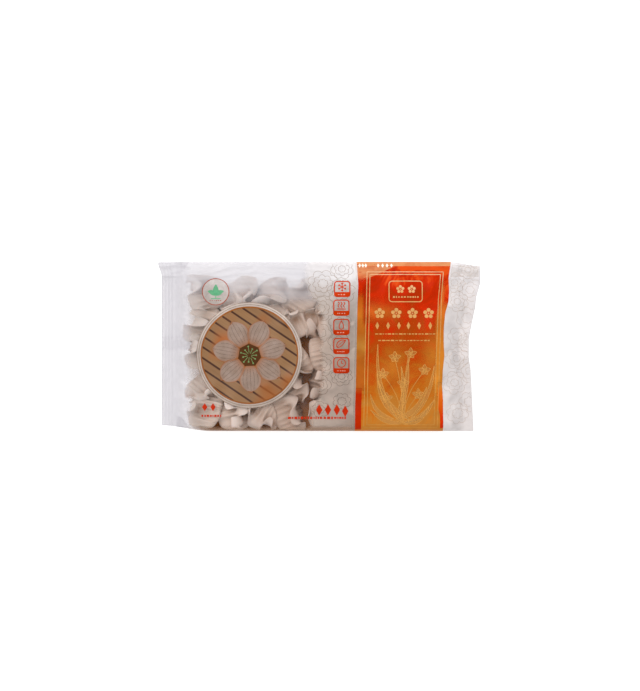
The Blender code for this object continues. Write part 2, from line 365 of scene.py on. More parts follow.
def place_dumplings(points, rng):
    """Rolls, dips and turns each dumpling, presses it among its neighbours in the block and
    sets it on the back film, at its own height. The press takes a distance from a
    dumpling's middle, as a share of the most, and divides it by the fifth root of 1 plus
    its fifth power."""
    count = len(points)
    number = np.arange(count) + 1
    column, row = np.divmod(np.arange(count), ROWS)
    roll = np.radians(rng.uniform(-MOST_ROLL, MOST_ROLL, count))
    dip = np.radians(rng.uniform(-MOST_DIP, MOST_DIP, count))
    centre = points.mean(axis=(1, 2), keepdims=True)
    points = turned(turned(points - centre, 0, roll), 1, dip)
    turn = math.pi * dealt(number, TURN_DEAL) + 0.6 * rng.uniform(-1.0, 1.0, count)
    for (across, up), (_, _, degrees) in SHOVES.items():
        turn[across * ROWS + up] += math.radians(degrees)
    points = turned(points, 2, turn)
    least, most = points.min(axis=(1, 2), keepdims=True), points.max(axis=(1, 2), keepdims=True)
    points = points - (least + most) / 2.0
    pitch = np.array([COLUMN_PITCH, ROW_PITCH])
    points[..., :2] *= np.clip(LEAST_SPAN * pitch / (most - least)[..., :2], 1.0, 1.35)
    limit = MOST_REACH * pitch
    share = points[..., :2] * 1.12 / limit
    points[..., :2] = limit * share / (1.0 + np.abs(share) ** 5) ** 0.2

    low = points[..., 2].min(axis=(1, 2), keepdims=True)
    high = points[..., 2].max(axis=(1, 2), keepdims=True)
    height = DUMPLING_HEIGHT - HEIGHT_SPREAD * dealt(number, HEIGHT_DEAL) - BACK_FILM
    points[..., 2] = (points[..., 2] - low) * np.minimum(1.25, height[:, None, None] / (high - low))
    points[..., 2] += BACK_FILM + 0.0004
    p = BLOCK_LEFT + (column + 0.5) * COLUMN_PITCH
    q = BLOCK_FRONT + (row + 0.5) * ROW_PITCH
    points[..., 0] += (p + PLACE_SPREAD * (2.0 * dealt(number, ALONG_DEAL) - 1.0))[:, None, None]
    points[..., 1] += (q + PLACE_SPREAD * (2.0 * dealt(number, ACROSS_DEAL) - 1.0))[:, None, None]
    for (column, row), (along, across, _) in SHOVES.items():
        points[column * ROWS + row, ..., :2] += 0.001 * along, 0.001 * across
    edge = HALF_WIDTH - 0.0016
    points[..., 1] = np.clip(points[..., 1], -edge, edge)
    points[..., 2] = np.maximum(points[..., 2], back_height(points[..., 0], points[..., 1]) + 0.0003)
    return points


def dumpling_faces(count):
    """Quads round every dumpling's rings, and a fan of triangles at each tip."""
    quads = grid_faces(RINGS - 1, AROUND, closed_columns=True)
    ring = np.arange(AROUND)
    first, last = (RINGS - 1) * AROUND, (RINGS - 1) * AROUND + 1
    start = (RINGS - 2) * AROUND
    head = np.stack([np.full(AROUND, first), ring, (ring + 1) % AROUND], 1)
    tail = np.stack([np.full(AROUND, last), start + (ring + 1) % AROUND, start + ring], 1)
    size = (RINGS - 1) * AROUND + 2
    faces = []
    for number in range(count):
        for part in (quads, head, tail):
            faces += (part + number * size).tolist()
    return faces


def with_tips(values):
    """Ring values of each dumpling without the end rings, and then one value for each tip."""
    count = len(values)
    inner = values[:, 1:-1].reshape(count, -1, *values.shape[3:])
    tips = np.stack([values[:, 0].mean(axis=1), values[:, -1].mean(axis=1)], axis=1)
    return np.concatenate([inner, tips], axis=1)


# ---------------------------------------------------------------- the film's heights


def finer(values, times):
    """A grid of points with that many steps in each old one, along both directions."""
    for axis in (1, 2):
        values = np.moveaxis(values, axis, 0)
        share = (np.arange(times) / times).reshape(times, *([1] * values.ndim))
        steps = values[:-1] * (1.0 - share) + values[1:] * share
        steps = np.swapaxes(steps, 0, 1).reshape(-1, *values.shape[1:])
        values = np.moveaxis(np.concatenate([steps, values[-1:]]), 0, axis)
    return values


def tops_on_grid(points, along, across):
    """The highest point of the dumplings over each place of an even grid."""
    wrapped = np.concatenate([points, points[:, :, :1]], axis=2)
    dense = finer(wrapped, 3).reshape(-1, 3)
    i = np.rint((dense[:, 0] - along[0]) / (along[1] - along[0])).astype(int)
    j = np.rint((dense[:, 1] - across[0]) / (across[1] - across[0])).astype(int)
    tops = np.full((len(along), len(across)), -1.0)
    inside = (i >= 0) & (i < len(along)) & (j >= 0) & (j < len(across))
    np.maximum.at(tops, (i[inside], j[inside]), dense[inside, 2])
    wide = tops.copy()
    for step in (-1, 1):
        wide = np.maximum(wide, np.roll(tops, step, axis=0))
        wide = np.maximum(wide, np.roll(tops, step, axis=1))
    return wide


def neighbour_mean(film):
    """The mean height of the four neighbours of each inner point."""
    return (film[:-2, 1:-1] + film[2:, 1:-1] + film[1:-1, :-2] + film[1:-1, 2:]) / 4.0


def relax(film, under, held, held_height, step, rounds):
    """A slack film: each point rests on what is under it, or sinks below its neighbours."""
    sink = SAG * step * step / 4.0
    for _ in range(rounds):
        film[1:-1, 1:-1] = np.maximum(neighbour_mean(film) - sink, under[1:-1, 1:-1])
        film[held] = held_height[held]
    return film


def film_on(along, across, points, start, rounds):
    """The front film's height on one even grid, over the dumplings and the round edges."""
    p, q = np.meshgrid(along, across, indexing="ij")
    rim = middle_height(p, q) + wall_half(p)
    reach = np.where(q < 0.0, FRONT_BULGE[0], BACK_BULGE[0])
    rise = np.where(q < 0.0, FRONT_BULGE[1], BACK_BULGE[1])
    edge = HALF_WIDTH - np.abs(q)
    round_edge = rim + rise * quarter_round(edge, reach) * (1.0 - seal_share(p))
    under = tops_on_grid(points, along, across) + FILM_CLEARANCE
    under = np.maximum(under, np.where(edge < reach, round_edge, -1.0))
    on_seal = (p <= LEFT_END + LEFT_SEAL) | (p >= RIGHT_END - RIGHT_SEAL)
    held = on_seal | (edge < 1e-9)
    return relax(np.where(held, rim, start), under, held, rim, across[1] - across[0], rounds)


def read_grid(values, along, across, p, q):
    """Values of an even grid at any places, by a cubic curve through four points each way."""
    i = np.clip((p - along[0]) / (along[1] - along[0]), 0.0, len(along) - 1.001)
    j = np.clip((q - across[0]) / (across[1] - across[0]), 0.0, len(across) - 1.001)
    a, b = i.astype(int), j.astype(int)

    def weights(t):
        return (
            -0.5 * t + t**2 - 0.5 * t**3,
            1.0 - 2.5 * t**2 + 1.5 * t**3,
            0.5 * t + 2.0 * t**2 - 1.5 * t**3,
            -0.5 * t**2 + 0.5 * t**3,
        )

    total = 0.0
    for m, u in enumerate(weights(i - a)):
        row = np.clip(a + m - 1, 0, len(along) - 1)
        for n, v in enumerate(weights(j - b)):
            total = total + u * v * values[row, np.clip(b + n - 1, 0, len(across) - 1)]
    return total


def drape_film(points):
    """The front film draped on a coarse grid, and from there on the fine one. Gives its
    heights and the grid's two lines."""
    grids = []
    for step in (2.0 * DRAPE_STEP, DRAPE_STEP):
        along = np.linspace(LEFT_END, RIGHT_END, round((RIGHT_END - LEFT_END) / step) + 1)
        across = np.linspace(-HALF_WIDTH, HALF_WIDTH, round(2.0 * HALF_WIDTH / step) + 1)
        grids.append((along, across))
    coarse = film_on(*grids[0], points, DUMPLING_HEIGHT, DRAPE_ROUNDS[0])
    p, q = np.meshgrid(*grids[1], indexing="ij")
    start = read_grid(coarse, *grids[0], p, q)
    film = film_on(*grids[1], points, start, DRAPE_ROUNDS[1])
    for _ in range(STIFF_ROUNDS):
        film[1:-1, 1:-1] += 0.5 * (neighbour_mean(film) - film[1:-1, 1:-1])
    return film, *grids[1]


def creases(p, q):
    """Small folds of the loose film: ribs pressed into the left seal, long soft folds along
    the back edge with one deep fold beside them on the ends, and crumples over both ends.
    All of them are hills that fade to nothing."""
    ends = seal_share(p)
    on_left = 1.0 - smooth_step(p, LEFT_END + LEFT_SEAL - 0.001, LEFT_END + LEFT_SEAL + 0.001)
    ribs = SEAL_RIB * np.cos(2.0 * math.pi * (p - LEFT_END) / SEAL_RIB_PITCH) * on_left
    by_edge = smooth_step(q, 0.068, 0.078) * (1.0 - smooth_step(q, 0.0885, HALF_WIDTH))
    drift = soft_noise(p, q, 0.045, 3) + 0.4 * soft_noise(p, q, 0.017, 4)
    folds = FOLD_HEIGHT * (1.0 - np.abs(np.sin((q / FOLD_PITCH + 0.9 * drift) * math.pi))) * by_edge
    tuck = np.exp(-np.abs(q - 0.0765 + 0.10 * (p - RIGHT_END) * (p > 0.0)) / 0.0011)
    folds = folds + TUCK_FOLD * tuck * smooth_step(ends, 0.02, 0.4)
    drift = soft_noise(p, q * 0.7, 0.012, 5) + 0.4 * soft_noise(p, q, 0.006, 6)
    crumple = 1.0 - np.sqrt(drift**2 + 0.015)
    right = smooth_step(p, BLOCK_RIGHT - 0.01, BLOCK_RIGHT + 0.006)
    crumples = CRUMPLE_RIGHT * crumple * right + CRUMPLE_LEFT * crumple * ends * (1.0 - right)
    return quarter_round(HALF_WIDTH - np.abs(q), 0.006) * (ribs + folds + crumples)


def front_height(p, q):
    """Height of the printed front of the pack, with its puckers beside the seals."""
    slope = 4.0 * seal_share(p) * (1.0 - seal_share(p))
    drift = 2.0 * soft_noise(p, q, 0.03, 8)
    pucker = np.sin(q * 2.0 * math.pi / PUCKER_PITCH + 9.0 * p / COLUMN_PITCH + drift)
    puckers = PUCKER_HEIGHT * pucker * slope * quarter_round(HALF_WIDTH - np.abs(q), 0.02)
    return read_grid(*DRAPED, p, q) + puckers + creases(p, q)


def back_height(p, q):
    """Height of the back of the pack: flat, and turned up to the walls all round."""
    side = 1.0 - quarter_round(HALF_WIDTH - np.abs(q), FOOT_RADIUS)
    rise = 1.0 - (1.0 - side) * (1.0 - seal_share(p))
    low = middle_height(p, q) - wall_half(p)
    return BACK_FILM + (low - BACK_FILM) * rise


def skin(p, around, inside=0.0):
    """Points of the film's skin, or of a layer that lies inside it. around runs from 0 to 1
    over the front, to 2 down the back wall, to 3 along the underside and to 4 up the front
    wall. A wall is pushed in along a V by the tuck, and bulges a little without one."""
    down = np.where(around < 2.5, around - 1.0, 4.0 - around)
    middle_share = 1.0 - np.abs(2.0 * down - 1.0)
    inset = tuck_depth(p) * middle_share - 0.0002 * (1.0 - (2.0 * down - 1.0) ** 2)
    wall = HALF_WIDTH - inset - inside
    front = HALF_WIDTH * (2.0 * around - 1.0)
    under = HALF_WIDTH * (5.0 - 2.0 * around)
    where = [around <= 1.0, around < 2.0, around <= 3.0]
    q = np.select(where, [front, wall, under], -wall)
    q = np.clip(q, inside - HALF_WIDTH, HALF_WIDTH - inside)
    on_wall = middle_height(p, q) + wall_half(p) * (1.0 - 2.0 * down)
    heights = [front_height(p, q) - inside, on_wall, back_height(p, q) + inside]
    return laid(p, q, np.select(where, heights, on_wall))


# ---------------------------------------------------------------- materials


def linear(code):
    """A hex colour as the linear numbers that shaders take, with alpha 1."""
    parts = np.array([int(code[k : k + 2], 16) for k in (1, 3, 5)]) / 255.0
    light = np.where(parts <= 0.04045, parts / 12.92, ((parts + 0.055) / 1.055) ** 2.4)
    return (*light.tolist(), 1.0)


def node(tree, kind, settings=None, **links):
    """Adds a node. settings go to its attributes, or to its inputs where the name is one;
    links go into its inputs, by name with _ for a blank or by i and a number."""
    made = tree.nodes.new(kind)
    for key, value in (settings or {}).items():
        if isinstance(key, int) or key in made.inputs:
            made.inputs[key].default_value = value
        else:
            setattr(made, key, value)
    for key, source in links.items():
        place = int(key[1:]) if key[0] == "i" and key[1:].isdigit() else key.replace("_", " ")
        tree.links.new(source, made.inputs[place])
    return made


def new_material(name):
    """An empty node material and its tree."""
    material = bpy.data.materials.new(name)
    material.use_nodes = True
    material.node_tree.nodes.clear()
    return material, material.node_tree


def finished(material, shader):
    """The material with that shader on its surface."""
    output = material.node_tree.nodes.new("ShaderNodeOutputMaterial")
    material.node_tree.links.new(shader.outputs[0], output.inputs[0])
    return material


def film_crinkle(tree, place):
    """The normal of thin film that is finely crinkled, about 4 mm from crest to crest."""
    crinkle = node(tree, "ShaderNodeTexNoise", {"Scale": 260.0, "Detail": 2.0}, Vector=place)
    bump = node(tree, "ShaderNodeBump", {"Strength": 0.3, "Distance": 0.0003}, Height=crinkle.outputs["Fac"])
    return bump.outputs["Normal"]


def frozen_dough():
    """Wheat starch dough, steamed and then frozen: pale, a little translucent, matt with
    frost, and whiter on its thin rims. Painted shade makes it browner deep in its pleats and
    low down, and darker towards the right and the front, away from the key light."""
    material, tree = new_material("frozen_wheat_starch_dough")
    place = node(tree, "ShaderNodeTexCoord").outputs["Object"]
    patches = node(tree, "ShaderNodeTexNoise", {"Scale": 90.0, "Detail": 3.0}, Vector=place)
    tones = {"data_type": "RGBA", 6: linear("#DDCEC2"), 7: linear("#CCB6A5")}
    colour = node(tree, "ShaderNodeMix", tones, i0=patches.outputs["Fac"]).outputs[2]
    # Painted shade: the dough darkens towards the right and the front, away from the key light.
    x, y, _ = node(tree, "ShaderNodeSeparateXYZ", Vector=place).outputs
    slant = node(tree, "ShaderNodeMath", {"operation": "MULTIPLY_ADD", 1: -0.4}, i0=y, i2=x).outputs[0]
    reach = {"From Min": -0.10, "From Max": 0.0, "To Max": 0.58}
    painted_shade_front_right = node(tree, "ShaderNodeMapRange", reach, Value=slant).outputs[0]
    # The rim mark is the thin dough's own paler tone; crease and depth paint shade in the pleats and low
    # down.
    rim, crease, depth = (
        node(tree, "ShaderNodeAttribute", {"attribute_name": mark}).outputs["Fac"]
        for mark in ("rim", "crease", "depth")
    )
    for share, tone in ((rim, "#E4D9D1"), (crease, "#967256"), (depth, "#704019"), (painted_shade_front_right, "#A0806A")):
        over = {"data_type": "RGBA", 7: linear(tone)}
        colour = node(tree, "ShaderNodeMix", over, i0=share, i6=colour).outputs[2]
    frost = node(tree, "ShaderNodeTexNoise", {"Scale": 900.0, "Detail": 2.0}, Vector=place)
    bump = node(tree, "ShaderNodeBump", {"Strength": 0.25, "Distance": 0.0004}, Height=frost.outputs["Fac"])
    dough = {
        "Roughness": 0.60,
        "IOR": 1.42,
        "Subsurface Weight": 0.15,
        "Subsurface Scale": 0.002,
        "Subsurface Radius": (1.0, 0.6, 0.4),
    }
    normal = bump.outputs["Normal"]
    return finished(material, node(tree, "ShaderNodeBsdfPrincipled", dough, Base_Color=colour, Normal=normal))


def clear_film():
    """Clear polypropylene film about 0.05 mm thick: it lets nearly all light through, and
    mirrors soft lights on its creases. The mark "haze" makes it milky where it is sealed or
    lies loose, and the mark "warm" makes that milk warmer and darker over the dumplings:
    painted shade of what lies under the film."""
    material, tree = new_material("clear_polypropylene_film")
    normal = film_crinkle(tree, node(tree, "ShaderNodeTexCoord").outputs["Object"])
    haze, warm = (
        node(tree, "ShaderNodeAttribute", {"attribute_name": mark}).outputs["Fac"]
        for mark in ("haze", "warm")
    )
    # The warm tone is painted shade: darker milk over the dumplings.
    tones = {"data_type": "RGBA", 6: linear("#C2BFC4"), 7: linear("#A69B95")}
    tone = node(tree, "ShaderNodeMix", tones, i0=warm).outputs[2]
    milk = node(tree, "ShaderNodeBsdfPrincipled", {"Roughness": 0.3}, Base_Color=tone, Normal=normal)
    through = node(tree, "ShaderNodeBsdfTransparent", {"Color": linear("#FAF9FA")})
    mirror = node(tree, "ShaderNodeBsdfGlossy", {"Roughness": 0.24}, Normal=normal)
    facing = node(tree, "ShaderNodeLayerWeight", {"Blend": 0.5}, Normal=normal)
    power = node(tree, "ShaderNodeMath", {"operation": "POWER", 1: 4.0}, i0=facing.outputs["Facing"])
    gloss = {"operation": "MULTIPLY_ADD", 1: 0.45, 2: 0.006}
    shine = node(tree, "ShaderNodeMath", gloss, i0=power.outputs[0]).outputs[0]
    clear = node(tree, "ShaderNodeMixShader", i0=shine, i1=through.outputs[0], i2=mirror.outputs[0])
    mixed = node(tree, "ShaderNodeMixShader", i0=haze, i1=clear.outputs[0], i2=milk.outputs[0])
    return finished(material, mixed)


def pale_floor():
    """A white light table: it glows evenly and takes little shadow."""
    material, tree = new_material("white_light_table")
    glow = {
        "Base Color": linear("#BBBBBB"),
        "Roughness": 0.9,
        "Emission Color": linear("#FFFFFF"),
        "Emission Strength": 0.72,
    }
    return finished(material, node(tree, "ShaderNodeBsdfPrincipled", glow))


# ---------------------------------------------------------------- the film and the dumplings


def make_dumplings():
    """Places of all dumplings in the block, and the two marks of each point."""
    rng = np.random.default_rng(11)
    shapes, marks = har_gow_shapes(COLUMNS * ROWS, rng)
    return place_dumplings(shapes, rng), marks


def dumpling_piece(points, marks):
    """All dumplings in one mesh. The mark "depth" browns them below 16 mm, as painted shade low down between
    them.
    """
    flat = with_tips(points)
    crease, rim = (with_tips(mark) for mark in marks)
    # Painted shade: depth darkens the dough low down, between the dumplings.
    depth = 0.95 * (1.0 - smooth_step(flat[..., 2], 0.002, 0.016))
    named = {"crease": crease, "rim": 0.6 * rim, "depth": depth}
    made = laid(flat[..., 0], flat[..., 1], flat[..., 2])
    make_piece("har_gow", made, dumpling_faces(len(points)), frozen_dough(), named)


def film_lines():
    """Distances along the pack, closer together on the seals and beside them, and across
    it, closer together towards both long edges."""
    seal_left, seal_right = LEFT_END + LEFT_SEAL, RIGHT_END - RIGHT_SEAL
    stations = (LEFT_END, seal_left, BLOCK_LEFT, BLOCK_RIGHT, seal_right, RIGHT_END)
    spans = zip(stations, stations[1:], FILM_STEPS)
    along = [np.linspace(start, end, steps, endpoint=False) for start, end, steps in spans]
    turn = np.linspace(-1.0, 1.0, FILM_ACROSS)
    across = HALF_WIDTH * (0.45 * turn + 0.55 * np.sin(turn * math.pi / 2.0))
    return np.concatenate([*along, [RIGHT_END]]), across


def film_marks(p, around):
    """How milky the skin is and how warm that milk is. It is milkiest on the seals, then
    where it lies loose along the back edge and at the left, in streaks along the pack, and
    nearly clear where it is tight on a dumpling. Over the block its milk is warm and darker,
    as painted shade of the dumplings under it, but for a strip along the back edge."""
    q = HALF_WIDTH * (2.0 * around - 1.0)
    on_front, sealed = around <= 1.0, seal_share(p)
    by_back = 0.90 * smooth_step(q, 0.034, 0.058) + 0.35 * smooth_step(q, 0.062, 0.075)
    by_left = 0.80 * (1.0 - smooth_step(p, BLOCK_LEFT, BLOCK_LEFT + 0.034))
    loose = np.maximum(np.maximum(by_back, by_left) * on_front, sealed)
    streaks = 1.0 + 0.22 * soft_noise(0.12 * p, q, 0.0032, 14) + 0.22 * soft_noise(0.3 * p, q, 0.009, 15)
    on_seal = 1.0 + 0.16 * soft_noise(p, 0.05 * q, 0.0028, 16)
    haze = HAZE_TIGHT + (HAZE_LOOSE - HAZE_TIGHT) * loose * np.where(sealed > 0.5, on_seal, streaks)
    haze = np.where(on_front, haze, HAZE_WALL) + (HAZE_SEALED - HAZE_LOOSE) * sealed
    # Painted shade: over the block the milk turns warmer and darker, for the dumplings beneath.
    warm = smooth_step(p, BLOCK_LEFT - 0.003, BLOCK_LEFT + 0.006) * (1.0 - smooth_step(q, 0.036, 0.060))
    return {"haze": haze, "warm": warm * on_front}


def film_piece(material):
    """The bag's skin: at each distance along it one closed line round the pack. Both ends
    are closed with quads between the front and the back."""
    along, across = film_lines()
    share = (across / HALF_WIDTH + 1.0) / 2.0
    down = np.linspace(0.0, 1.0, WALL_STEPS + 1)[1:-1]
    around = np.concatenate([share, 1.0 + down, 3.0 - share[::-1], 3.0 + down])
    p, turn = np.meshgrid(along, around, indexing="ij")
    points = skin(p, turn)
    rows, columns = points.shape[:2]
    n, k = len(across), len(down)
    upper = np.arange(n - 1)
    lower = 2 * n + k - 1 - upper
    cap = np.stack([upper, upper + 1, lower - 1, lower], 1).tolist()
    cap += [list(range(n - 1, n + k + 1)), [*range(2 * n + k - 1, columns), 0]]
    last = (rows - 1) * columns
    faces = grid_faces(rows, columns, closed_columns=True).tolist()
    faces += cap + [[last + v for v in reversed(face)] for face in cap]
    return make_piece("film_bag", points, faces, material, film_marks(p, turn))


def back_seam(material):
    """The bag's long seam: two sheets sealed together and folded flat against the back."""
    along = np.linspace(LEFT_END + 0.001, RIGHT_END - 0.001, 200)
    turn = np.linspace(0.0, 2.0 * math.pi, 17)[:-1]
    p, a = np.meshgrid(along, turn, indexing="ij")
    sag = BACK_FILM + (middle_height(p, 0.0 * p) - wall_half(p) - BACK_FILM) * seal_share(p)
    q = 0.004 + 0.0075 * np.sign(np.cos(a)) * np.abs(np.cos(a)) ** 0.5
    ribs = 0.00006 * np.cos(2.0 * math.pi * p / 0.0016) * (np.sin(a) < 0.0)
    points = laid(p, q, sag - 0.00025 + 0.00018 * np.sin(a) + ribs)[:, ::-1]
    rows, columns = points.shape[:2]
    last = (rows - 1) * columns
    faces = grid_faces(rows, columns, closed_columns=True).tolist()
    faces += [list(range(columns)), [last + k for k in reversed(range(columns))]]
    make_piece("back_seam", points, faces, material, {"haze": np.full((rows, columns), HAZE_SEAM)})


# ---------------------------------------------------------------- the print

# Places of the print, in the plan of the pack as `outline` gives it
BAND_RIGHT_Y = (
    -0.0915, -0.087, -0.058, -0.042, -0.027, -0.010, 0.002, 0.022, 0.035, 0.049, 0.060, 0.074, 0.0915,
)
BAND_RIGHT = (
    0.1311, 0.1311, 0.1309, 0.1299, 0.1306, 0.1325, 0.1315, 0.1318, 0.1329, 0.1368, 0.1378, 0.1372, 0.1398,
)
BAND_LEFT_Y = (-0.090, -0.066, -0.037, 0.002, 0.045, 0.066, 0.091)
BAND_LEFT = (0.0360, 0.0362, 0.0371, 0.0379, 0.0387, 0.0396, 0.0382)
VEIL_Y = (-0.090, -0.062, -0.052, -0.030, -0.004, 0.030, 0.046, 0.060, 0.075, 0.090)
VEIL_LEFT = (-0.016, -0.011, -0.004, 0.000, -0.003, -0.001, -0.006, -0.018, -0.022, -0.019)
FRAME_OUTER = (  # corners of the gold lines round the band's picture
    (0.0491, 0.0805), (0.0472, 0.0), (0.0454, -0.0869), (0.1247, -0.0869),
    (0.1275, 0.0), (0.1290, 0.050), (0.1315, 0.0805), (0.0491, 0.0805),
)
FRAME_INNER = (
    (0.0522, 0.0776), (0.0505, 0.0), (0.0488, -0.0843), (0.1212, -0.0843),
    (0.1240, 0.0), (0.1258, 0.050), (0.1284, 0.0776), (0.0522, 0.0776),
)
SOFT_FIELDS = (  # middle x and y, reach along and across, and strength
    (0.060, 0.0375, 0.022, 0.0085, 0.62),
    (0.078, -0.024, 0.012, 0.019, 0.50),
    (0.119, -0.010, 0.010, 0.024, 0.60),
)
ORCHIDS = (
    (0.066, -0.030), (0.079, -0.012), (0.096, -0.008), (0.111, -0.026),
    (0.088, -0.040), (0.104, -0.052), (0.070, -0.056),
)
PICTURE_LEFT = 0.0525  # how far the orchid's blades reach
PICTURE_RIGHT = 0.1215
DISC = (-0.0775, -0.0094)
DISC_RADIUS = 0.0570
PETALS = 7
STAMENS = 11
RING = (-0.1139, 0.0590)
RING_RADIUS = 0.0142
PICTOGRAMS = (  # x of the middle and y of the top
    (0.0223, 0.0707), (0.0214, 0.0505), (0.0214, 0.0298), (0.0214, 0.0093), (0.0214, -0.0114),
)
PICTOGRAM_SIDE = 0.0175
PICTOGRAM_LINE = 0.0012
PICTOGRAM_CORNER = 0.0028
PICTOGRAM_FOOT = 0.0055
ROSETTE_ROWS = (-0.072, -0.043, -0.014, 0.015, 0.044, 0.072)
ROSETTE_LINE = 0.0005
GOLD_LINE = 0.00078
INK = 0.00004  # the step from one layer of ink to the next, drawn thicker than it is
PRINT_STEP = 0.0012  # the print's meshes have about this much from point to point


def inside_outline(x, y):
    """The flat film's place that `outline` pulls to x, y, by steps that close the gap."""
    p, q = x, np.clip(y, -HALF_WIDTH, HALF_WIDTH)
    for _ in range(8):
        u, v = outline(p, q)
        p, q = p + x - u, np.clip(q + y - v, -HALF_WIDTH, HALF_WIDTH)
    return p, q


def print_piece(name, shapes, material, layer, fade=None, marks=None):
    """One piece of ink on the front film. Every shape is a grid of places x, y, layer says
    how far above the film it lies, and fade, a function of x and y, how strong its ink is."""
    points, faces, count = [], [], 0
    for x, y in shapes:
        p, q = inside_outline(x, y)
        points.append(laid(p, q, front_height(p, q) + layer * INK).reshape(-1, 3))
        faces += (grid_faces(*x.shape) + count).tolist()
        count += x.size
    if fade is not None:
        marks = {"fade": np.concatenate([fade(x, y).ravel() for x, y in shapes])}
    make_piece(name, np.concatenate(points), faces, material, marks)


def sleeve(name, left, right, material, layer, start=0.0, end=4.0, fade=None):
    """Ink that runs round the pack: a band between two edges, from start to end of `around`.
    fade is a function of the share of the way from edge to edge, and of q."""
    front = (film_lines()[1] / HALF_WIDTH + 1.0) / 2.0
    back = [np.linspace(1, 2, 10), np.linspace(2, 3, 60), np.linspace(3, 4, 10)]
    stations = np.concatenate([front, *back, [end]])
    around = np.unique(stations[(stations >= start) & (stations <= end)])
    q = HALF_WIDTH * np.interp(around, (0, 1, 2, 3, 4), (-1.0, 1.0, 1.0, -1.0, -1.0))
    share = np.linspace(0.0, 1.0, 80)[:, None]
    x = left(q) + (right(q) - left(q)) * share
    q = np.broadcast_to(q, x.shape)
    p = x
    for _ in range(6):
        p = p + x - outline(p, q)[0]
    points = skin(p, np.broadcast_to(around, x.shape), -layer * INK)
    closed = start == 0.0 and end == 4.0
    if closed:
        points = points[:, :-1]
    faces = grid_faces(*points.shape[:2], closed_columns=closed).tolist()
    marks = {"fade": fade(np.broadcast_to(share, x.shape), q)} if fade else None
    make_piece(name, points, faces, material, marks)


# ---------------------------------------------------------------- lines and fields of ink


def patch(left, right, low, high, step=PRINT_STEP):
    """Field between two edges, which are numbers or functions of y."""
    y = np.linspace(low, high, max(2, round((high - low) / step) + 1))
    x0, x1 = (edge(y) if callable(edge) else np.full_like(y, edge) for edge in (left, right))
    share = np.linspace(0.0, 1.0, max(2, round(np.max(x1 - x0) / step) + 1))[:, None]
    return x0 + (x1 - x0) * share, np.broadcast_to(y, (len(share), len(y)))


def traced(corners):
    """Points at even steps along straight runs between corners."""
    corners = np.asarray(corners, float)
    run = np.concatenate([[0.0], np.cumsum(np.hypot(*np.diff(corners, axis=0).T))])
    t = np.linspace(0.0, run[-1], max(2, round(run[-1] / PRINT_STEP) + 1))
    t = np.unique(np.concatenate([t, run]))
    return np.interp(t, run, corners[:, 0]), np.interp(t, run, corners[:, 1])


def ribbon(x, y, width):
    """A line of ink: each point of its middle gives a row of them across its width."""
    dx, dy = np.gradient(x), np.gradient(y)
    if np.hypot(x[0] - x[-1], y[0] - y[-1]) < 1e-9:
        dx[[0, -1]] = x[1] - x[-2]
        dy[[0, -1]] = y[1] - y[-2]
    length = np.hypot(dx, dy) + 1e-12
    across = np.linspace(0.5, -0.5, 2 + int(np.max(width) / PRINT_STEP))[:, None] * width
    return x - across * dy / length, y + across * dx / length


def stroke(corners, width):
    """A line of ink along straight runs between corners."""
    return ribbon(*traced(corners), width)


def runs(x, y, kept):
    """The stretches of a line where kept holds."""
    cuts = np.flatnonzero(np.diff(kept.astype(int))) + 1
    parts = np.split(np.arange(len(x)), cuts)
    return [(x[part], y[part]) for part in parts if kept[part[0]] and len(part) > 2]


def polar(middle, reach, turn):
    """The place at a distance and an angle from the middle."""
    return middle[0] + reach * math.cos(turn), middle[1] + reach * math.sin(turn)


def circle(middle, radius):
    """Points of a circle, about 0.8 mm apart, the last one on the first."""
    count = max(9, round(2.0 * math.pi * radius / 0.0008))
    turn = np.radians(np.linspace(0.0, 360.0, count))
    return middle[0] + radius * np.cos(turn), middle[1] + radius * np.sin(turn)


def ring(middle, inner, outer, step=PRINT_STEP):
    """A filled ring, or a disc where inner is 0: a grid of radii and angles."""
    radius = np.linspace(inner, outer, max(2, round((outer - inner) / step) + 1))[:, None]
    turn = np.linspace(0.0, 2.0 * math.pi, max(17, round(2.0 * math.pi * outer / step)))[None, :]
    return middle[0] + radius * np.cos(turn), middle[1] + radius * np.sin(turn)


def rounded(left, right, low, high, radius):
    """The middle line of a frame with round corners, closed."""
    turn = np.radians(np.linspace(0.0, 90.0, 7))
    middles = ((right, high, -1, -1), (left, high, 1, -1), (left, low, 1, 1), (right, low, -1, 1))
    x, y = [], []
    for number, (side, level, inward, up) in enumerate(middles):
        x.append(side + inward * radius + radius * np.cos(turn + math.radians(90 * number)))
        y.append(level + up * radius + radius * np.sin(turn + math.radians(90 * number)))
    x, y = np.concatenate(x), np.concatenate(y)
    return traced(np.stack([np.append(x, x[0]), np.append(y, y[0])], 1))


def petal_line(middle, radii, petals, depth, turn):
    """A closed line that swings out to round petals: the radius is 1 less a share of how
    near the angle is to a notch."""
    angle = np.linspace(0.0, 2.0 * math.pi, 24 * petals + 1)
    share = 1.0 - depth * (1.0 - np.abs(np.sin(petals * (angle - turn) / 2.0)) ** 0.6)
    return middle[0] + radii[0] * share * np.cos(angle), middle[1] + radii[1] * share * np.sin(angle)


def leaf(root, tip, width, bend=0.0, steps=18):
    """A pointed leaf as a ribbon: its width follows a sine that leans to the root."""
    t = np.linspace(0.0, 1.0, steps)
    dx, dy = tip[0] - root[0], tip[1] - root[1]
    side = bend * np.sin(math.pi * t)
    x, y = root[0] + dx * t - dy * side, root[1] + dy * t + dx * side
    return x, y, width * np.sin(math.pi * t**0.8) ** 0.85


def leaf_outline(root, tip, width, bend, line):
    """Both edges of a leaf and its midrib, as three ribbons."""
    x, y, wide = leaf(root, tip, width, bend, 24)
    edge_x, edge_y = ribbon(x, y, np.maximum(wide, 1e-5))
    edges = [ribbon(edge_x[k], edge_y[k], line) for k in (0, -1)]
    return [*edges, ribbon(x, y, 0.6 * line)]


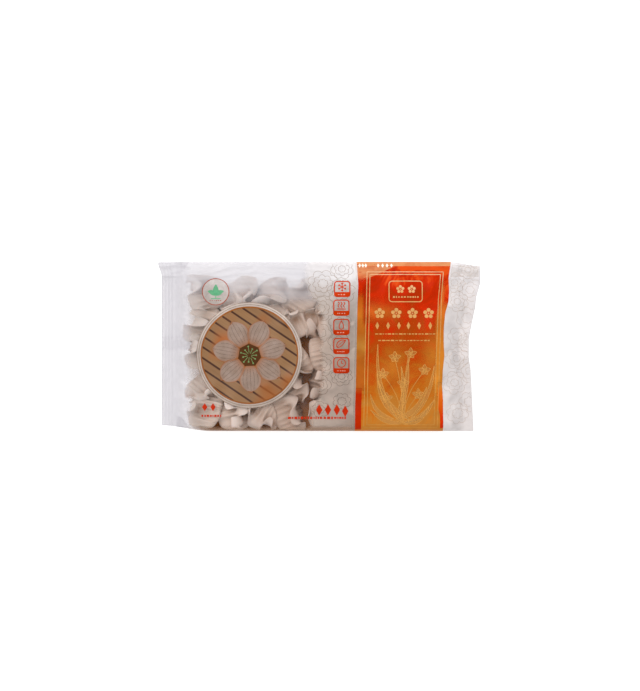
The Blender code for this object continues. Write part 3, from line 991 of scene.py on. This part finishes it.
def lozenge(middle, width, height):
    """A filled diamond: a ribbon whose width grows to the middle and shrinks again."""
    y = np.linspace(-0.5, 0.5, 9)
    return ribbon(np.full(9, middle[0]), middle[1] + y * height, width * (1.0 - 2.0 * np.abs(y)))


def dashes(left, right, y, height, rng, longest=0.0040):
    """A row of short strokes of changing length, as a plain running ornament."""
    shapes, x = [], left
    while x < right - 0.0012:
        length = min(rng.uniform(0.0010, longest), right - x)
        shapes.append(stroke([(x, y), (x + length, y)], height * rng.uniform(0.55, 1.0)))
        x += length + rng.uniform(0.0007, 0.0014)
    return shapes


def blossom(middle, radius):
    """A plum blossom: five round petals that just part, about a small round heart."""
    shapes = [ring(middle, 0.0, 0.15 * radius, 0.0005)]
    for turn in np.radians(90.0 + 72.0 * np.arange(5)):
        shapes.append(ring(polar(middle, 0.62 * radius, turn), 0.0, 0.345 * radius, 0.0007))
    return shapes


def band_left(y):
    """The band's left edge."""
    return np.interp(y, BAND_LEFT_Y, BAND_LEFT)


def band_right(y):
    """The band's right edge."""
    return np.interp(y, BAND_RIGHT_Y, BAND_RIGHT)


def right_edge(y):
    """Where the film ends at the right, in plan."""
    return RIGHT_END + np.interp(y, CURL_STATIONS, CURL_REACH)


def veil_left(y):
    """The milky field's left edge, with a fine wave."""
    return np.interp(y, VEIL_Y, VEIL_LEFT) + 0.0012 * np.sin(y / 0.0023)


def block_end(y):
    """Just left of the dumplings."""
    return np.full_like(y, BLOCK_LEFT - 0.004)


def moved(edge, distance):
    """An edge moved along the pack."""
    return lambda y: edge(y) + distance


# ---------------------------------------------------------------- the inks

PICTURE_COAT = {"Roughness": 0.4, "Specular IOR Level": 0.2}  # the shine of the round picture


def ink(name, tones, solid, blotch=60.0, faded=False, swirl=0.045):
    """Flexographic ink printed on the film: a thin, even coat whose tone and density drift a
    little, by a noise of the scale blotch. tones are (y, colour) from the front edge to the
    back edge, and the noise moves them by up to half of swirl. solid is how much the coat
    hides of what lies behind it. A faded ink thins out with the mark "fade"."""
    material, tree = new_material(name)
    place = node(tree, "ShaderNodeTexCoord").outputs["Object"]
    clouds = {"Scale": blotch, "Detail": 4.0, "Roughness": 0.6, "Distortion": 12.0 * swirl}
    drift = node(tree, "ShaderNodeTexNoise", clouds, Vector=place).outputs["Fac"]
    y = node(tree, "ShaderNodeSeparateXYZ", Vector=place).outputs["Y"]
    about_zero = {"operation": "MULTIPLY_ADD", 1: swirl, 2: -swirl / 2.0}
    spread = node(tree, "ShaderNodeMath", about_zero, i0=drift)
    shifted = node(tree, "ShaderNodeMath", {"operation": "ADD"}, i0=y, i1=spread.outputs[0])
    width = {"From Min": -HALF_WIDTH, "From Max": HALF_WIDTH}
    share = node(tree, "ShaderNodeMapRange", width, Value=shifted.outputs[0])
    ramp = node(tree, "ShaderNodeValToRGB", Fac=share.outputs[0])
    stops = ramp.color_ramp.elements
    for at, colour in tones:
        stops.new(min(1.0, max(0.0, at / (2.0 * HALF_WIDTH) + 0.5))).color = linear(colour)
    stops.remove(stops[0])
    stops.remove(stops[-1])
    value = node(tree, "ShaderNodeMath", {"operation": "MULTIPLY_ADD", 1: 0.5, 2: 0.75}, i0=drift)
    mottled = node(tree, "ShaderNodeHueSaturation", Color=ramp.outputs["Color"], Value=value.outputs[0])
    matt = {"Roughness": 0.35, "Specular IOR Level": 0.03}
    links = {"Base_Color": mottled.outputs[0], "Normal": film_crinkle(tree, place)}
    coat = node(tree, "ShaderNodeBsdfPrincipled", matt, **links)
    clear = node(tree, "ShaderNodeBsdfTransparent")
    cover = {"operation": "MULTIPLY_ADD", 1: 0.20 * solid, 2: 0.90 * solid, "use_clamp": True}
    density = node(tree, "ShaderNodeMath", cover, i0=drift)
    if faded:
        fade = node(tree, "ShaderNodeAttribute", {"attribute_name": "fade"}).outputs["Fac"]
        density = node(tree, "ShaderNodeMath", {"operation": "MULTIPLY"}, i0=density.outputs[0], i1=fade)
    mixed = node(tree, "ShaderNodeMixShader", i0=density.outputs[0], i1=clear.outputs[0], i2=coat.outputs[0])
    return finished(material, mixed)


def woven_bamboo():
    """Split bamboo laid side by side: long strips about 7 mm wide with dark gaps between,
    each strip of its own tone, with fine grain along it and amber clouds."""
    material, tree = new_material("split_bamboo_print")
    place = node(tree, "ShaderNodeTexCoord").outputs["Object"]
    slanted = {"Location": (0.003, 0.002, 0.0), "Rotation": (0.0, 0.0, math.radians(34.0))}
    laid_out = node(tree, "ShaderNodeMapping", slanted, Vector=place).outputs[0]
    split = {
        "Scale": 1.0,
        "Brick Width": 0.9,
        "Row Height": 0.0098,
        "Mortar Size": 0.0012,
        "Mortar Smooth": 0.3,
        "Bias": 0.0,
        "Color1": linear("#866244"),
        "Color2": linear("#9A724C"),
        "Mortar": linear("#46281A"),
    }
    strips = node(tree, "ShaderNodeTexBrick", split, Vector=laid_out).outputs["Color"]
    grain = node(tree, "ShaderNodeMapping", {"Scale": (60.0, 900.0, 1.0)}, Vector=laid_out)
    lines = node(tree, "ShaderNodeTexNoise", {"Scale": 1.0, "Detail": 3.0}, Vector=grain.outputs[0])
    darker = {"data_type": "RGBA", "blend_type": "MULTIPLY", 0: 0.35}
    grained = node(tree, "ShaderNodeMix", darker, i6=strips, i7=lines.outputs["Fac"])
    warm = node(tree, "ShaderNodeTexNoise", {"Scale": 26.0, "Detail": 1.0}, Vector=place)
    amber = node(tree, "ShaderNodeMapRange", {"From Min": 0.52, "From Max": 0.70}, Value=warm.outputs["Fac"])
    over = {"data_type": "RGBA", 7: linear("#985420")}
    colour = node(tree, "ShaderNodeMix", over, i0=amber.outputs[0], i6=grained.outputs[2]).outputs[2]
    return finished(material, node(tree, "ShaderNodeBsdfPrincipled", PICTURE_COAT, Base_Color=colour))


def petal_print():
    """Printed petals: pale grey beige, clouded, and amber at the rim."""
    material, tree = new_material("petal_print")
    place = node(tree, "ShaderNodeTexCoord").outputs["Object"]
    rim = node(tree, "ShaderNodeAttribute", {"attribute_name": "rim"}).outputs["Fac"]
    cloud = node(tree, "ShaderNodeTexNoise", {"Scale": 130.0, "Detail": 3.0}, Vector=place)
    tones = {"data_type": "RGBA", 6: linear("#78614F"), 7: linear("#A28E84")}
    pale = node(tree, "ShaderNodeMix", tones, i0=cloud.outputs["Fac"]).outputs[2]
    over = {"data_type": "RGBA", 7: linear("#8F5222")}
    colour = node(tree, "ShaderNodeMix", over, i0=rim, i6=pale).outputs[2]
    return finished(material, node(tree, "ShaderNodeBsdfPrincipled", PICTURE_COAT, Base_Color=colour))


# ---------------------------------------------------------------- the band


def red_strips(x, y):
    """How strong the red at the band's left side is: full in front, faint beside the frame."""
    ridge = 0.8 * np.clip(1.0 - np.abs(x - 0.0475) / 0.0040, 0.0, 1.0)
    beside = ridge * smooth_step(y, 0.018, 0.030) * (1.0 - smooth_step(y, 0.058, 0.071))
    return np.where(y > 0.0, beside, smooth_step(-y, 0.0440, 0.0455))


def soft_fields(x, y):
    """How strong the light orange is: a strip along the right side, narrower at the back,
    and three soft round fields, each one of a bell's shape across and along."""
    inset = band_right(y) - x
    narrower = 1.0 - smooth_step(y, 0.040, 0.052) * (1.0 - smooth_step(inset, 0.0040, 0.0060))
    strip = 0.85 * (1.0 - smooth_step(inset, 0.0080, 0.0100)) * narrower
    strength = strip * smooth_step(y, -0.060, -0.045) * (1.0 - smooth_step(y, 0.062, 0.073))
    for middle_x, middle_y, reach_x, reach_y, most in SOFT_FIELDS:
        bell = np.exp(-(((x - middle_x) / reach_x) ** 2) - ((y - middle_y) / reach_y) ** 2)
        strength = np.maximum(strength, most * bell)
    return strength * smooth_step(y, -0.062, -0.050)


def print_band():
    """The orange band with its fields of red, light orange and ochre."""
    orange = (
        (-0.088, "#BA762C"), (-0.060, "#B66E22"), (-0.040, "#B46014"), (-0.020, "#AE4E0C"), (0.0, "#AC4004"),
        (0.020, "#B03604"), (0.045, "#B62600"), (0.070, "#C02600"), (0.086, "#D44A14"),
    )
    coat = ink("orange_flexographic_ink", orange, 0.98, blotch=28.0, swirl=0.17)
    sleeve("orange_band", band_left, band_right, coat, 4)

    red = (
        (-0.085, "#B22600"), (-0.052, "#B22600"), (-0.045, "#B04C10"), (0.0, "#B42600"), (0.085, "#BA1C00"),
    )
    coat = ink("red_flexographic_ink", red, 0.95, faded=True, swirl=0.006)
    in_front = patch(band_left, moved(band_left, 0.0066), -0.0905, -0.0440)
    print_piece("band_red_strips", [in_front, patch(0.0435, 0.0515, 0.018, 0.072)], coat, 6, red_strips)

    red_orange = (
        (-0.085, "#CA2C00"), (-0.075, "#CC3402"), (-0.064, "#D0560A"), (-0.050, "#CE6418"),
        (-0.041, "#C87C2E"),
    )
    coat = ink("red_orange_flexographic_ink", red_orange, 0.95, faded=True, swirl=0.004)

    def inner_edge(y):
        return band_right(y) - 0.0056 + 0.0022 * smooth_step(-y, 0.064, 0.076)

    def right_strip(x, y):
        return smooth_step(-y, 0.0380, 0.0395)

    print_piece("band_right_strip", [patch(inner_edge, band_right, -0.088, -0.038)], coat, 6, right_strip)

    light = (
        (-0.085, "#DC9030"), (0.0, "#D8842A"), (0.035, "#DA7424"), (0.066, "#DC6428"), (0.079, "#E18E5C"),
        (0.087, "#E29C68"),
    )
    coat = ink("light_orange_flexographic_ink", light, 0.88, faded=True)
    print_piece("band_light_fields", [patch(band_left, band_right, -0.062, 0.0740)], coat, 5, soft_fields)

    def slant(y):
        return 0.0790 - 2.2 * (0.0865 - y)

    def top_fields(x, y):
        return np.where(y > 0.0866, 0.9, 0.75 * smooth_step(y, 0.070, 0.0765))

    fields = [patch(band_left, band_right, 0.0868, HALF_WIDTH), patch(band_left, slant, 0.0700, 0.0865)]
    print_piece("band_top_fields", fields, coat, 5.5, top_fields)

    ochre = (
        (-0.048, "#AE5713"), (-0.014, "#AE5C18"), (0.0, "#B4762C"), (0.014, "#B05E18"), (0.034, "#C46C1C"),
        (0.058, "#BC480A"),
    )
    coat = ink("ochre_flexographic_ink", ochre, 0.95, faded=True, swirl=0.012)
    frame_x, frame_y = zip(*FRAME_OUTER[2::-1])

    def under_frame(y):
        return np.interp(y, frame_y, frame_x)

    def left_field(x, y):
        return 0.97 * (1.0 - smooth_step(y, 0.050, 0.062))

    print_piece("band_left_field", [patch(band_left, under_frame, -0.0475, 0.0640)], coat, 5.5, left_field)


def gold_lines(gold):
    """Both gold frames, the plate with two blossoms, a row of blossoms, one of lozenges, and
    rows of dashes."""
    shapes = [stroke(FRAME_OUTER, GOLD_LINE), stroke(FRAME_INNER, GOLD_LINE)]
    shapes.append(ribbon(*rounded(0.0727, 0.1084, 0.0482, 0.0704, 0.0033), 0.0010))
    for x in (0.0848, 0.0970):
        shapes += blossom((x, 0.0616), 0.0046)
    for x in (0.0626, 0.0805, 0.0980, 0.1152):
        shapes += blossom((x, 0.0357), 0.0060)
    for x in (0.0600, 0.0716, 0.0832, 0.0935, 0.1050, 0.1169):
        shapes.append(lozenge((x, 0.0224), 0.0040, 0.0082))
    rng = np.random.default_rng(21)
    shapes += dashes(0.0770, 0.1045, 0.0533, 0.0022, rng, 0.0022)
    shapes += dashes(0.0578, 0.1224, 0.0135, 0.0016, rng)
    shapes += dashes(0.0610, 0.1172, 0.0065, 0.0015, rng)
    print_piece("gold_lines", shapes, gold, 8)


def orchid_blades(gold):
    """Long grass blades in gold line over faint gold, as an orchid is painted: they rise
    from one root in a fan, each one arching to its own side, with small flowers between."""
    lines, fills = [], []
    rng = np.random.default_rng(5)
    root = np.array([0.0875, -0.0835])
    for turn in np.radians(np.linspace(156.0, 24.0, 11)):
        turn += math.radians(rng.uniform(-4.0, 4.0))
        limit_x = (PICTURE_RIGHT if math.cos(turn) > 0.0 else PICTURE_LEFT) - root[0]
        reach = min(rng.uniform(0.060, 0.088), abs(limit_x / (math.cos(turn) + 1e-9)))
        start = root + (rng.uniform(-0.010, 0.010), rng.uniform(0.0, 0.005))
        tip = np.array(polar(start, reach, turn))
        tip[0] = np.clip(tip[0], PICTURE_LEFT, PICTURE_RIGHT)
        bend = -0.20 * math.cos(turn) + rng.uniform(-0.06, 0.06)
        wide = rng.uniform(0.0034, 0.0062)
        lines += leaf_outline(start, tip, wide, bend, 0.0006)[:2]
        fills.append(ribbon(*leaf(start, tip, wide, bend, 40)))
    for flower in ORCHIDS:
        stem_x, stem_y, _ = leaf(root, flower, 0.001, 0.08 * (flower[0] - root[0]) / 0.02, 40)
        lines.append(ribbon(stem_x, stem_y, 0.0006))
        for angle, reach in ((90, 0.0068), (18, 0.0068), (162, 0.0068), (234, 0.0052), (306, 0.0052)):
            petal = polar(flower, reach, math.radians(angle))
            lines += leaf_outline(flower, petal, 0.0042, 0.0, 0.0005)[:2]
            fills.append(ribbon(*leaf(flower, petal, 0.0042)))
    print_piece("gold_blade_lines", lines, gold, 8)
    faint = ink("faint_gold_flexographic_ink", ((-0.085, "#D29C54"), (0.0, "#CE8A40")), 0.45)
    print_piece("gold_blade_fills", fills, faint, 7)


# ---------------------------------------------------------------- signs and ornaments


def pictogram_sign(number, middle):
    """The lines of one sign: ice crystal, steam, drop, leaf or clock."""
    x, y = middle
    if number == 0:  # an ice crystal has six arms with two barbs each
        lines = []
        for turn in np.radians(np.arange(6) * 60.0 + 30.0):
            lines.append(stroke([middle, polar(middle, 0.0048, turn)], 0.0008))
            root = polar(middle, 0.0030, turn)
            lines += [stroke([root, polar(root, 0.0018, turn + barb)], 0.0007) for barb in (0.7, -0.7)]
        return lines
    if number == 1:  # steam is three sines that stand on a line
        t = np.linspace(-1.0, 1.0, 17)
        wave, rise = 0.0007 * np.sin(4.2 * t), y + 0.0010 + 0.0032 * t
        lines = [ribbon(x + shift + wave, rise, 0.0009) for shift in (-0.0030, 0.0, 0.0030)]
        return [*lines, stroke([(x - 0.0048, y - 0.0036), (x + 0.0048, y - 0.0036)], 0.0010)]
    if number == 2:  # a drop is an ellipse that a power of a sine pinches at the top
        t = np.linspace(0.0, 2.0 * math.pi, 33)
        return [ribbon(x + 0.0034 * np.sin(t) * np.sin(t / 2.0) ** 1.4, y + 0.0046 * np.cos(t), 0.0009)]
    if number == 3:
        return leaf_outline((x - 0.0046, y - 0.0036), (x + 0.0046, y + 0.0040), 0.0056, 0.08, 0.0009)
    hands = [(x, y + 0.0028), middle, (x + 0.0022, y - 0.0008)]
    return [ribbon(*circle(middle, 0.0044), 0.0009), stroke(hands, 0.0008)]


def foot_side(x, low, sign):
    """One side of a pictogram's foot as a function of y: straight, with a round corner."""

    def side(y):
        t = np.clip(PICTOGRAM_CORNER - (y - low), 0.0, PICTOGRAM_CORNER)
        corner = np.sqrt(PICTOGRAM_CORNER**2 - t**2)
        return x + sign * (PICTOGRAM_SIDE / 2.0 - PICTOGRAM_CORNER + corner)

    return side


def print_pictograms(red, white):
    """Five pictograms, each with a milky ground, a red frame, a red foot with ivory marks
    and its sign, and a row of ivory lozenges at the band's back edge."""
    grounds, red_lines, feet, marks = [], [], [], []
    half, line = PICTOGRAM_SIDE / 2.0, PICTOGRAM_LINE / 2.0
    rng = np.random.default_rng(9)
    for number, (x, top) in enumerate(PICTOGRAMS):
        y = top - half
        low = y - half
        grounds.append(patch(x - half + 0.001, x + half - 0.001, low + 0.001, top - 0.001))
        frame = rounded(x - half + line, x + half - line, low + line, top - line, PICTOGRAM_CORNER)
        red_lines += [ribbon(*frame, PICTOGRAM_LINE), *pictogram_sign(number, (x, y + 0.0022))]
        sides = foot_side(x, low, -1.0), foot_side(x, low, 1.0)
        feet.append(patch(*sides, low, low + PICTOGRAM_FOOT, 0.0007))
        marks += dashes(x - 0.0045, x + 0.0045, top - PICTOGRAM_SIDE + 0.0027, 0.0011, rng, 0.0018)
    for x in (0.0412, 0.0446, 0.0478, 0.0612, 0.0660, 0.0708, 0.0756):
        marks.append(lozenge((x, 0.0875), 0.0030, 0.0046))
    ivory = ((-0.020, "#CC9684"), (0.060, "#D09C8A"), (0.082, "#FBEFE2"))
    print_piece("pictogram_grounds", grounds, white, 6)
    print_piece("pictogram_lines", red_lines + feet, red, 7)
    print_piece("ivory_marks", marks, ink("ivory_flexographic_ink", ivory, 0.95, blotch=200.0), 8)


def print_ornaments(red):
    """Red lozenges in the two front corners of the clear part, each over a running line."""
    shapes = [lozenge((x, -0.0652), 0.0056, 0.0088) for x in (-0.1257, -0.1168)]
    for x, y in ((-0.0025, -0.0682), (0.0070, -0.0682), (0.0165, -0.0682), (0.0255, -0.0696)):
        shapes.append(lozenge((x, y), 0.0070, 0.0124))
    rng = np.random.default_rng(33)
    shapes += dashes(-0.1292, -0.1072, -0.0746, 0.0028, rng, 0.0030)
    shapes += dashes(-0.0360, 0.0280, -0.0768, 0.0030, rng, 0.0034)
    print_piece("red_ornaments", shapes, red, 6)


def print_ring(white):
    """A ring of red brown line round a sprig of green tea leaves on a milky ground."""
    brown = ink("red_brown_flexographic_ink", ((-0.09, "#8E3E2A"), (0.09, "#A4503C")), 0.9, blotch=200.0)
    green = ink("leaf_green_flexographic_ink", ((-0.09, "#4E9A6C"), (0.09, "#67B184")), 0.8, blotch=200.0)
    x, y = RING
    print_piece("ring_ground", [ring(RING, 0.0, RING_RADIUS - 0.0004)], white, 6)
    lines = [ribbon(*circle(RING, RING_RADIUS), 0.00085)]
    lines += dashes(x - 0.0066, x + 0.0066, y - 0.0096, 0.0010, np.random.default_rng(2), 0.0016)
    print_piece("ring_lines", lines, brown, 7)
    root = (x, y - 0.0040)
    leaves = [stroke([(x, y - 0.0072), root], 0.0008)]
    for angle, reach, wide, bend in (
        (90, 0.0122, 0.0062, 0.0), (28, 0.0100, 0.0052, 0.10), (152, 0.0100, 0.0052, -0.10),
    ):
        leaves.append(ribbon(*leaf(root, polar(root, reach, math.radians(angle)), wide, bend)))
    leaves.append(stroke([(x - 0.0052, y - 0.0074), (x + 0.0052, y - 0.0074)], 0.0009))
    print_piece("ring_leaves", leaves, green, 7)


def petal_shapes():
    """The disc's petals as grids: u runs outwards and w across. A petal's half width is a
    power of a sine of u, and its end is a little round. Gives the petals, and how near
    each point of one lies to the rim."""
    u, w = np.meshgrid(np.linspace(0.0, 1.0, 26), np.linspace(-1.0, 1.0, 19), indexing="ij")
    wide = 0.0122 * np.sin(math.pi * np.clip(0.12 + 0.88 * u, 0.0, 1.0) ** 1.25) ** 0.55
    out = 0.0115 + 0.0300 * u - 0.0022 * w * w * u
    side = wide * w
    petals = []
    for number in range(PETALS):
        turn = 2.0 * math.pi * (number + 0.3) / PETALS
        x = DISC[0] + out * math.cos(turn) - side * math.sin(turn)
        petals.append((x, DISC[1] + out * math.sin(turn) + side * math.cos(turn)))
    return petals, np.clip(np.abs(w) ** 9 + u**14 + 0.8 * (1.0 - u) ** 6, 0.0, 1.0).ravel()


def print_disc():
    """A round of split bamboo with a pale rim, and on it a flower of seven petals round a
    dark heart with green stamens."""
    pale, amber, rim_line, brown, vein, green = (
        ink(name + "_flexographic_ink", ((-0.07, front), (0.05, back)), solid, blotch=blotch)
        for name, front, back, solid, blotch in (
            ("pale_rim", "#B0A197", "#C6B8AF", 0.85, 90.0),
            ("amber", "#8A5530", "#A0602F", 0.85, 50.0),
            ("rim_line", "#97806F", "#A58E7F", 0.6, 90.0),
            ("dark_brown", "#4A2C14", "#52321A", 0.97, 150.0),
            ("vein", "#7C6554", "#8A7463", 0.35, 90.0),
            ("stamen_green", "#6E8A55", "#7E9A66", 0.9, 200.0),
        )
    )
    print_piece("disc_bamboo", [ring(DISC, 0.0, DISC_RADIUS - 0.0046)], woven_bamboo(), 3)
    print_piece("disc_rim", [ring(DISC, DISC_RADIUS - 0.0044, DISC_RADIUS, 0.0008)], pale, 5)
    print_piece("disc_edge", [ring(DISC, DISC_RADIUS - 0.0060, DISC_RADIUS - 0.0043, 0.0008)], amber, 4)
    rim_lines = [ribbon(*circle(DISC, DISC_RADIUS - inset), 0.0007) for inset in (0.0003, 0.0026)]
    print_piece("disc_rim_lines", rim_lines, rim_line, 6)
    print_piece("disc_heart", [ring(DISC, 0.0, 0.0135)], brown, 4)
    petals, rim = petal_shapes()
    print_piece("disc_petals", petals, petal_print(), 5, marks={"rim": np.tile(rim, PETALS)})
    veins = []
    for x, y in petals:
        for column in (3, 6, 9, 12, 15):
            span = slice(3, 25 - abs(column - 9))
            veins.append(ribbon(x[span, column], y[span, column], 0.0006))
    print_piece("petal_veins", veins, vein, 7)
    stamens = []
    for number in range(STAMENS):
        inner, outer = (0.003, 0.0095) if number % 2 else (0.002, 0.0072)
        ends = [polar(DISC, reach, 2.0 * math.pi * number / STAMENS) for reach in (inner, outer)]
        stamens += [stroke(ends, 0.0006), ring(ends[1], 0.0, 0.0009, 0.0004)]
    print_piece("disc_stamens", stamens, green, 6)


# ---------------------------------------------------------------- the milky field, the white end, the painted shade on the back


def rosettes(columns, left, right, rng):
    """Wavy rings of line round two columns of middles, kept where they lie between two edges
    of the print."""
    lines = []
    for number, row in enumerate(2 * ROSETTE_ROWS):
        column = number // len(ROSETTE_ROWS)
        middle_x = columns[column] + rng.uniform(-0.002, 0.002)
        middle = (middle_x, row + rng.uniform(-0.005, 0.005) + 0.014 * column)
        size, petals, turn = rng.uniform(0.0110, 0.0170), rng.integers(5, 9), rng.uniform(0.0, 1.0)
        for share in (1.0, 0.66, 0.34) if number % 3 else (0.8, 0.4):
            x, y = petal_line(middle, (size * share, size * share * 0.9), petals, 0.24, turn + share)
            kept = (x > left(y)) & (x < right(y)) & (np.abs(y) < 0.0888)
            lines += [ribbon(*run, ROSETTE_LINE) for run in runs(x, y, kept)]
    return lines


def print_veil():
    """The milky field beside the band, the white end on the band's other side, a pale strip
    along the band, a fold at the right end, and rosettes in a thin line on both fields."""
    milky = ((-0.085, "#C4B3A7"), (0.0, "#C8B8AC"), (0.055, "#D6CAC2"), (0.072, "#F2EDEC"))
    coat = ink("milky_flexographic_ink", milky, 0.52, blotch=40.0, faded=True)

    def from_left(share, q):
        return smooth_step(share, 0.0, 0.13)

    sleeve("milky_field", veil_left, moved(band_left, 0.001), coat, 2, 0.0, 1.0, from_left)
    white = ((-0.085, "#E2DAD8"), (0.06, "#E5DEDD"), (0.085, "#EAE5E6"))
    coat = ink("white_flexographic_wash", white, 0.82, blotch=40.0)
    sleeve("white_end", moved(band_right, -0.001), moved(right_edge, -0.0003), coat, 2)

    pale = ((-0.085, "#A8968A"), (0.0, "#AE9E93"), (0.030, "#BDB0A8"), (0.060, "#D4CAC5"), (0.085, "#EDE6E3"))
    coat = ink("white_edge_ink", pale, 0.5)
    strip = patch(moved(band_left, -0.0022), moved(band_left, -0.0002), -0.0895, 0.0905)
    print_piece("white_edge", [strip], coat, 5)

    rng = np.random.default_rng(12)
    grey = ((-0.085, "#7E695A"), (0.0, "#857162"), (0.085, "#B4A598"))
    lines = rosettes((0.000, 0.0205), moved(veil_left, 0.001), moved(band_left, -0.003), rng)
    print_piece("grey_outlines", lines, ink("grey_outline_ink", grey, 0.55, blotch=300.0), 5)
    tan = ((-0.085, "#C4A88E"), (0.085, "#CDB59E"))
    lines = rosettes((0.1455, 0.1600), moved(band_right, 0.001), moved(right_edge, -0.001), rng)
    print_piece("tan_outlines", lines, ink("tan_outline_ink", tan, 0.30, blotch=300.0), 8)
    fold = patch(moved(band_right, 0.0015), moved(right_edge, -0.0015), 0.0755, 0.0880)
    print_piece("folded_end", [fold], coat, 3)


def paint_shade_on_back():
    """A warm brown sheet of ink all over the back, a little way up both sides, and a softer
    brown along the front edge: painted shade, dark in the gaps between the dumplings and on
    the pack's lower side."""
    # Painted shade: this brown sheet stands in for the dark shade seen between the dumplings.
    brown = ((-0.09, "#AA6418"), (0.0, "#AC620C"), (0.09, "#A46826"))
    coat = ink("brown_painted_shade_ink", brown, 0.98, blotch=30.0, faded=True)

    def fade(share, q):
        return smooth_step(share, 0.0, 0.10) * (1.0 - 0.85 * smooth_step(q, 0.050, 0.072))

    sleeve("brown_back_painted_shade", block_end, moved(band_right, -0.003), coat, -8, 2.10, 3.30, fade)

    # Painted shade along the front edge, where the pack's lower side lies in shade.
    soft = ((-0.09, "#A58670"), (0.09, "#A58670"))
    coat = ink("soft_brown_painted_shade_ink", soft, 0.9, blotch=30.0, faded=True)

    def foot(share, q):
        return 0.60 * smooth_step(share, 0.0, 0.15) * (1.0 - smooth_step(q, -0.0900, -0.0850))

    sleeve("brown_front_edge_painted_shade", block_end, band_left, coat, 3, 0.0, 0.035, foot)


# ---------------------------------------------------------------- floor, light, camera

VIEW_WIDTH = 0.6912  # what the camera sees across at the height of the pack's front
CAMERA_AIM = (0.0008, 0.0011, 0.020)


def make_floor():
    """A large level floor, just under the pack."""
    bpy.ops.mesh.primitive_plane_add(size=40.0, location=(0.0, 0.0, -0.0002))
    floor = bpy.context.object
    floor.name = "floor"
    floor.data.materials.append(pale_floor())


def area_light(name, place, aim, size, power):
    """A square softbox at place, turned to aim."""
    data = bpy.data.lights.new(name, "AREA")
    data.size = size
    data.energy = power
    light = bpy.data.objects.new(name, data)
    light.location = place
    light.rotation_euler = (Vector(aim) - Vector(place)).to_track_quat("-Z", "Y").to_euler()
    bpy.context.scene.collection.objects.link(light)


def make_world(strength):
    """Even white light from all sides."""
    world = bpy.data.worlds.new("studio")
    world.use_nodes = True
    background = world.node_tree.nodes["Background"]
    background.inputs["Color"].default_value = linear("#FFFFFF")
    background.inputs["Strength"].default_value = strength
    bpy.context.scene.world = world


def make_camera():
    """Straight over the pack, whose length takes half the width of the view."""
    data = bpy.data.cameras.new("camera")
    data.lens = 85.0
    data.sensor_width = 36.0
    data.sensor_fit = "HORIZONTAL"
    camera = bpy.data.objects.new("camera", data)
    distance = VIEW_WIDTH * data.lens / data.sensor_width
    camera.location = Vector(CAMERA_AIM) + Vector((0.0, 0.0, distance))
    bpy.context.scene.collection.objects.link(camera)
    bpy.context.scene.camera = camera


# ---------------------------------------------------------------- all together

SHAPES, MARKS = make_dumplings()
DRAPED = drape_film(SHAPES)
dumpling_piece(SHAPES, MARKS)
CLEAR = clear_film()
FILM = film_piece(CLEAR)
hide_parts("sealed_pack")

GOLD_TONES = ((-0.085, "#C0853E"), (0.0, "#C68E4A"), (0.060, "#D29E64"), (0.085, "#E2B890"))
RED_TONES = ((-0.080, "#B5290A"), (0.0, "#AE2C02"), (0.075, "#C23602"))
WHITE_TONES = (
    (-0.020, "#A48F80"), (0.020, "#A9988C"), (0.041, "#B9AFA8"), (0.062, "#CDC3BE"), (0.085, "#E4DCD8"),
)
GOLD = ink("gold_flexographic_ink", GOLD_TONES, 1.0, blotch=140.0)
RED = ink("signal_red_flexographic_ink", RED_TONES, 0.97, blotch=200.0)
WHITE = ink("white_flexographic_ink", WHITE_TONES, 0.62, blotch=120.0)
print_band()
gold_lines(GOLD)
orchid_blades(GOLD)
print_pictograms(RED, WHITE)
print_ornaments(RED)
print_ring(WHITE)
print_disc()
print_veil()
paint_shade_on_back()
back_seam(CLEAR)

make_floor()
make_world(0.80)
area_light("key", (-1.0, 1.1, 2.0), (0.0, 0.0, 0.0), 2.2, 42.0)
make_camera()
bpy.context.scene.view_settings.view_transform = "Standard"
